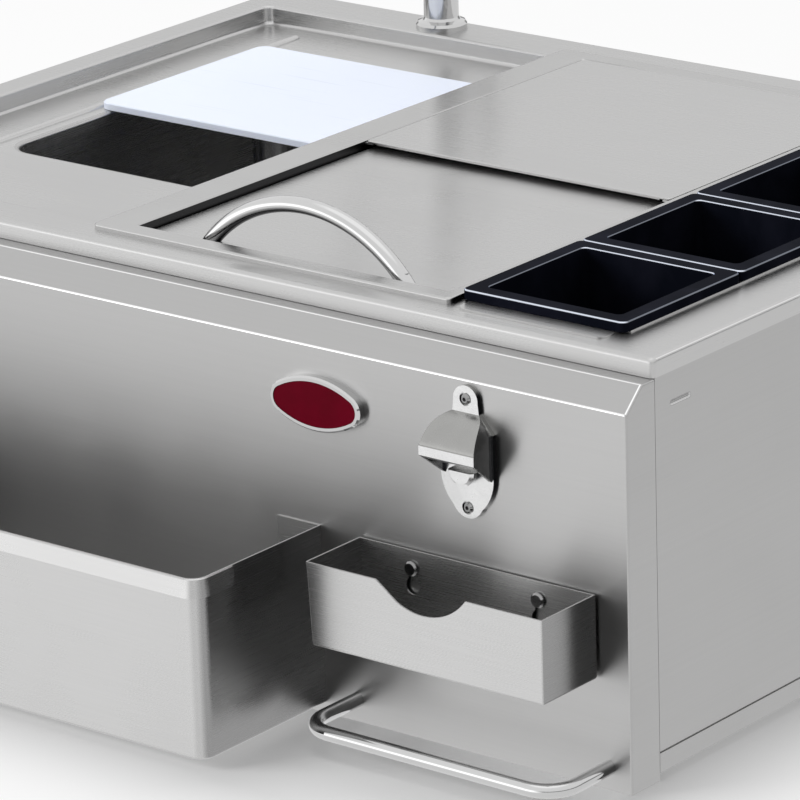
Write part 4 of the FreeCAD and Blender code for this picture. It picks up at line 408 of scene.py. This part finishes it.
def dull(name, first, second, rough, scale, strength):
    """Foam, rubber and drain plastic: a grainy, unpolished skin."""
    material, tree, shader = finish_named(name)
    cells = noise(tree, object_place(tree), scale, 4.0)
    join(tree, shader, Base_Color=tinted(tree, cells, first, second),
         Roughness=spread(tree, cells, 0.3, 0.7, rough - 0.06, rough + 0.06),
         Normal=relief(tree, cells, strength, 0.0006))
    return material


FINISHES = {
    "brushed_panel": brushed_steel("brushed_panel", 0.50, 0.30),
    "brushed_deck": brushed_steel("brushed_deck", 0.59, 0.27),
    "brushed_sink": brushed_steel("brushed_sink", 0.58, 0.28),
    "brushed_bowl": brushed_steel("brushed_bowl", 0.50, 0.26),
    # the rail and catcher: the panel's steel toned lighter as painted light, with painted shade on faces
    # that look right
    "brushed_rail": brushed_steel("brushed_rail", 0.60, 0.26, painted_shade=0.42),
    # painted shade on the frame's walls that look right
    "brushed_frame": brushed_steel("brushed_frame", 0.55, 0.24, painted_shade=0.93),
    "polished_trim": polished_steel("polished_trim"),
    # painted shade on the handle's undersides
    "polished_handle": polished_steel("polished_handle", painted_shade=0.95),
    # painted highlight: a lightened bright steel for the thin rods along the folds
    "painted_fold_highlight": polished_steel("painted_fold_highlight", bright=1.4),
    "cast_opener": cast_metal(),
    "screw_steel": turned_steel(),
    "black_tray": gloss_plastic(),
    "white_board": board_plastic(),
    "red_enamel": enamel(),
    "foam": dull("foam", (0.62, 0.56, 0.40, 1), (0.74, 0.69, 0.55, 1), 0.85, 260.0, 0.6),
    "seal_rubber": dull("seal_rubber", (0.02, 0.02, 0.02, 1), (0.05, 0.05, 0.05, 1), 0.6, 500.0, 0.3),
    "drain_plastic": dull("drain_plastic", (0.72, 0.72, 0.70, 1), (0.8, 0.8, 0.78, 1), 0.4, 200.0, 0.15),
}
OWN_FINISH = {"speed_rail": "brushed_rail", "cap_catcher": "brushed_rail",
              "sink_bowl": "brushed_bowl", "ice_bin_frame": "brushed_frame",
              "lid_handle": "polished_handle"}


def dress_nodes():
    """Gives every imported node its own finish, or else the one that its slot is named after."""
    for name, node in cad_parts.items():
        for place in node.material_slots:
            slot_name = place.material.name.split(".")[0]
            place.material = FINISHES[OWN_FINISH.get(name, slot_name)]


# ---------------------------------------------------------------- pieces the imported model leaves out

def piece_from(name, shape, body, slot_name, finish=None):
    """Turns a built shape into a piece that rides on a body."""
    bmesh.ops.recalc_face_normals(shape, faces=shape.faces)
    mesh = bpy.data.meshes.new(name)
    shape.to_mesh(mesh)
    shape.free()
    mesh.materials.append(FINISHES[finish or slot_name])
    piece = bpy.data.objects.new(name, mesh)
    bpy.context.scene.collection.objects.link(piece)
    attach(piece, body)
    return piece


def skin_between(shape, rows):
    """Faces between closed rows of vertices of equal length."""
    for near, far in zip(rows, rows[1:]):
        for i in range(len(near)):
            j = (i + 1) % len(near)
            shape.faces.new((near[i], near[j], far[j], far[i]))


def around(middle, radius, angle, level):
    """A point round an upright axis."""
    return middle[0] + radius * math.cos(angle), middle[1] + radius * math.sin(angle), level


def rolled_thread(name, middle, radius, low, high, pitch):
    """A sharp ridge wound round an upright pipe, run out at both ends."""
    count = int((high - low) / pitch * THREAD_STEPS)
    sunk, depth = radius - BURIED, THREAD_DEPTH * pitch
    foot, top = THREAD_FOOT * pitch, THREAD_CREST * pitch
    shape = bmesh.new()
    rows = []
    for i in range(count + 1):
        angle = 2 * math.pi * i / THREAD_STEPS
        level = low + pitch * i / THREAD_STEPS
        crest = radius + depth * min(1.0, i / THREAD_STEPS, (count - i) / THREAD_STEPS)
        profile = ((sunk, -foot), (crest, -top), (crest, top), (sunk, foot))
        rows.append([shape.verts.new(around(middle, r, angle, level + z)) for r, z in profile])
    skin_between(shape, rows)
    shape.faces.new(rows[0])
    shape.faces.new(rows[-1][::-1])
    return piece_from(name, shape, "cabinet", "polished_trim")


def knurled_grip():
    """Upright ribs round the spout's mouth, bevelled at both ends."""
    shape = bmesh.new()
    rows = []
    for level, height in ((GRIP_LOW, GRIP_FADE), (GRIP_LOW + GRIP_BEVEL, 1.0),
                          (GRIP_HIGH - GRIP_BEVEL, 1.0), (GRIP_HIGH, GRIP_FADE)):
        row = []
        for i in range(2 * GRIP_RIBS):
            r = GRIP_RADIUS + (GRIP_PROUD * height if i % 2 else -BURIED)
            row.append(shape.verts.new(around(SPOUT_MOUTH, r, math.pi * i / GRIP_RIBS, level)))
        rows.append(row)
    skin_between(shape, rows)
    for row in (rows[0][::-1], rows[-1]):
        inner = []
        for corner in row:
            x = SPOUT_MOUTH[0] + (corner.co.x - SPOUT_MOUTH[0]) * GRIP_LIP
            y = SPOUT_MOUTH[1] + (corner.co.y - SPOUT_MOUTH[1]) * GRIP_LIP
            inner.append(shape.verts.new((x, y, corner.co.z)))
        skin_between(shape, [row, inner])
    return piece_from("aerator_grip", shape, "faucet_spout", "polished_trim")


def stadium(length, height):
    """An outline with round ends, in its own plane."""
    steps = 10
    r = height / 2
    points = []
    for side in (1, -1):
        for i in range(steps + 1):
            angle = -math.pi / 2 + math.pi * i / steps
            points.append((side * (length / 2 - r + r * math.cos(angle)), side * r * math.sin(angle)))
    return points


def slot_insert(name, side):
    """The pressed pan inside a side panel's slot: a sloped rim round a flat floor."""
    shape = bmesh.new()
    rows = []
    for inset, sink in SLOT_PAN:
        outline = stadium(SLOT_LENGTH - 2 * inset * MM, SLOT_HEIGHT - 2 * inset * MM)
        rows.append([shape.verts.new((side * (CAD_BOX[1].x - sink * MM), SLOT_MIDDLE + a, SLOT_LEVEL + b))
                     for a, b in outline])
    skin_between(shape, rows)
    shape.faces.new(rows[-1])
    # the rail's finish, with painted shade where the pan faces right
    return piece_from(name, shape, "cabinet", "brushed_panel", "brushed_rail")


def painted_fold_highlight(name, start, end, outward, sunk):
    """A painted highlight along a fold: a thin bright rod, almost flush with the sheet."""
    start, end, out = Vector(start), Vector(end), Vector(outward).normalized()
    along = (end - start).normalized()
    across = along.cross(out)
    turns = [2 * math.pi * i / FOLD_SIDES for i in range(FOLD_SIDES)]
    shape = bmesh.new()
    rows = []
    for place in (start, end):
        middle = place - out * (FOLD_RADIUS + sunk)
        rows.append([shape.verts.new(middle + FOLD_RADIUS * (math.cos(a) * out + math.sin(a) * across))
                     for a in turns])
    skin_between(shape, rows)
    shape.faces.new(rows[0][::-1])
    shape.faces.new(rows[1])
    return piece_from(name, shape, "cabinet", "brushed_panel", "painted_fold_highlight")


def add_folds():
    """Painted highlight lines along the front panel's two long folds, its end folds and the deck's long
    side edges.
    """
    for name, place, outward, sunk in (("lower_fold", LOWER_FOLD, (0, -0.917, 0.400), 0.06 * MM),
                                       ("upper_fold", UPPER_FOLD, (0, -0.365, 0.931), 0.03 * MM)):
        painted_fold_highlight(name, (-PANEL_END, *place), (PANEL_END, *place), outward, sunk)
    low = [value + 0.5 * MM for value in LOWER_FOLD]
    for name, side in (("right", 1), ("left", -1)):
        painted_fold_highlight(name + "_end_fold", (side * PANEL_END, *low), (side * PANEL_END, *UPPER_FOLD),
                       (0, -0.680, 0.733), -0.08 * MM)
        painted_fold_highlight(name + "_deck_fold", (side * DECK_SIDE, DECK_FRONT, DECK_LEVEL),
                       (side * DECK_SIDE, DECK_BACK, DECK_LEVEL), (side, 0, 1), -0.05 * MM)


def add_details():
    """Painted highlight lines on the folds, threads, the spout's grip and the slots' pans."""
    add_folds()
    for thread in THREADS:
        rolled_thread(*thread)
    knurled_grip()
    slot_insert("right_slot_rim", 1)
    slot_insert("left_slot_rim", -1)


# ---------------------------------------------------------------- stage, light and camera

def side_of_studio(name, heading, edges):
    """How squarely a direction points along a heading on the ground, from 0 to 1."""
    group, given, out = new_group(name, [("Direction", "NodeSocketVector", (0, 0, 0))],
                                  [("Share", "NodeSocketFloat")])
    level = vector(group, "MULTIPLY", given["Direction"], (1, 1, 0))
    ground = vector(group, "NORMALIZE", level)
    turn = math.radians(heading)
    facing = vector(group, "DOT_PRODUCT", ground, (math.sin(turn), -math.cos(turn), 0))
    group.links.new(spread(group, facing, *edges), out.inputs["Share"])
    return group


def studio_rays(tree):
    """Two masks: rays that see the stage straight or through glass, and mirrored rays."""
    path = put(tree, "ShaderNodeLightPath").outputs
    direct = number(tree, "MAXIMUM", path["Is Camera Ray"], path["Is Transmission Ray"])
    return direct, path["Is Glossy Ray"]


def clear_of_object(tree, place):
    """Distance on the floor from the object's outline."""
    middle, half = (CAD_BOX[1] + CAD_BOX[0]) / 2, (CAD_BOX[1] - CAD_BOX[0]) / 2
    offset = vector(tree, "SUBTRACT", place, (middle.x, middle.y, 0))
    size = vector(tree, "ABSOLUTE", offset)
    beyond = vector(tree, "SUBTRACT", size, (half.x, half.y, 0))
    return vector(tree, "LENGTH", vector(tree, "MAXIMUM", beyond))


def lit_ground():
    """Pale paper, white behind the object, with its soft shade close to it. Clear from below."""
    material = bpy.data.materials.new("pale_floor")
    material.use_nodes = True
    tree = material.node_tree
    tree.nodes.clear()
    direct, _ = studio_rays(tree)
    distance = clear_of_object(tree, object_place(tree))
    paper = put(tree, "ShaderNodeBsdfDiffuse", {"Color": (0.82, 0.82, 0.82, 1)}).outputs[0]
    glow = put(tree, "ShaderNodeEmission", {"Color": WHITE, "Strength": 1.0}).outputs[0]
    share = number(tree, "MULTIPLY", direct, spread(tree, distance, 0.0, SHADE_REACH, 0.15, 0.85))
    mixed = put(tree, "ShaderNodeMixShader", {0: share, 1: paper, 2: glow}).outputs[0]
    under = number(tree, "MULTIPLY", direct, put(tree, "ShaderNodeNewGeometry").outputs["Backfacing"])
    clear = put(tree, "ShaderNodeBsdfTransparent").outputs[0]
    mixed = put(tree, "ShaderNodeMixShader", {0: under, 1: mixed, 2: clear}).outputs[0]
    put(tree, "ShaderNodeOutputMaterial", {"Surface": mixed})
    return material


def make_floor():
    """A wide round floor just under the object. The steel doesn't mirror it."""
    mesh = bpy.data.meshes.new("floor")
    shape = bmesh.new()
    bmesh.ops.create_circle(shape, cap_ends=True, radius=FLOOR_RADIUS, segments=96)
    shape.to_mesh(mesh)
    shape.free()
    floor = bpy.data.objects.new("floor", mesh)
    bpy.context.scene.collection.objects.link(floor)
    floor.location.z = CAD_BOX[0].z - FLOOR_DROP
    floor.visible_glossy = False
    mesh.materials.append(lit_ground())


def make_world():
    """A white studio, which is what the steel mirrors.

    It is brightest at the front left and dim in a gap at the horizon. Its dark side is seen by
    second and later reflections, and it takes light from matt surfaces.
    """
    world = bpy.data.worlds.new("studio")
    bpy.context.scene.world = world
    world.use_nodes = True
    tree = world.node_tree
    tree.nodes.clear()
    direct, mirrored = studio_rays(tree)
    direction = put(tree, "ShaderNodeTexCoord").outputs["Generated"]
    dark, bright = (put(tree, "ShaderNodeGroup", {"Direction": direction}, node_tree=side).outputs[0]
                    for side in (DARK_SIDE, BRIGHT_SIDE))
    height = put(tree, "ShaderNodeSeparateXYZ", {0: direction}).outputs[2]
    bounces = put(tree, "ShaderNodeLightPath").outputs["Glossy Depth"]
    twice = number(tree, "GREATER_THAN", bounces, 1.5)
    unlit = number(tree, "MULTIPLY", dark, spread(tree, height, *UNLIT_HEAD, 1.0, 0.0))
    unlit = number(tree, "MULTIPLY", unlit, twice)
    pane = number(tree, "MULTIPLY", bright, between(tree, height, WINDOW_SILL, WINDOW_HEAD))
    window = number(tree, "MULTIPLY", pane, WINDOW_LIGHT)
    ceiling = spread(tree, height, *CEILING_EDGE, 0.0, CEILING_LIGHT)
    added = number(tree, "ADD", window, ceiling)
    walls = number(tree, "ADD", spread(tree, height, *WALL_RISE, FLOOR_LIGHT, WALL_LIGHT), added)
    gap = number(tree, "MULTIPLY", between(tree, height, GAP_FOOT, GAP_HEAD),
                 number(tree, "SUBTRACT", 1.0, bright))
    walls = number(tree, "MULTIPLY", walls, spread(tree, gap, 0.0, 1.0, 1.0, 1.0 - HORIZON_SHADE))
    mirror = number(tree, "MULTIPLY", walls, spread(tree, unlit, 0.0, 1.0, 1.0, UNLIT_LIGHT))
    diffuse = number(tree, "SUBTRACT", 1.0, number(tree, "MAXIMUM", direct, mirrored))
    level = number(tree, "ADD", direct, number(tree, "MULTIPLY", mirrored, mirror))
    soft = spread(tree, dark, 0.0, 1.0, SOFT_LIGHT, SOFT_LIGHT * SOFT_UNLIT)
    level = number(tree, "ADD", level, number(tree, "MULTIPLY", diffuse, soft))
    shade = put(tree, "ShaderNodeBackground", {"Color": WHITE, "Strength": level}).outputs[0]
    put(tree, "ShaderNodeOutputWorld", {"Surface": shade})


def softbox(name, place, target, size, watts):
    """A lamp that lights the object. The steel doesn't mirror it."""
    light = bpy.data.lights.new(name, "AREA")
    light.shape = "RECTANGLE"
    light.size, light.size_y = size
    light.energy = watts
    lamp = bpy.data.objects.new(name, light)
    bpy.context.scene.collection.objects.link(lamp)
    lamp.visible_glossy = False
    lamp.location = place
    lamp.rotation_euler = (Vector(target) - Vector(place)).to_track_quat("-Z", "Y").to_euler()


def make_camera():
    """Looks at the object from the photograph's place, with its slight roll."""
    turn, rise, roll = (math.radians(v) for v in (CAMERA_AZIMUTH, CAMERA_ELEVATION, CAMERA_ROLL))
    back = Vector((math.sin(turn) * math.cos(rise), -math.cos(turn) * math.cos(rise), math.sin(rise)))
    right = Vector((math.cos(turn), math.sin(turn), 0.0))
    up = back.cross(right)
    across = math.cos(roll) * right + math.sin(roll) * up
    above = math.cos(roll) * up - math.sin(roll) * right
    data = bpy.data.cameras.new("camera")
    data.lens = CAMERA_LENS
    data.sensor_width = SENSOR
    data.clip_end = 100.0
    camera = bpy.data.objects.new("camera", data)
    bpy.context.scene.collection.objects.link(camera)
    axes = Matrix((across, above, back)).transposed().to_4x4()
    camera.matrix_world = Matrix.Translation(CAMERA_PLACE) @ axes
    bpy.context.scene.camera = camera


DARK_SIDE = side_of_studio("dark_side", DARK_HEADING, DARK_EDGES)
BRIGHT_SIDE = side_of_studio("bright_side", BRIGHT_HEADING, BRIGHT_EDGES)
dress_nodes()
add_details()
make_floor()
make_world()
for lamp_values in SOFTBOXES:
    softbox(*lamp_values)
make_camera()
bpy.context.scene.view_settings.view_transform = "Standard"
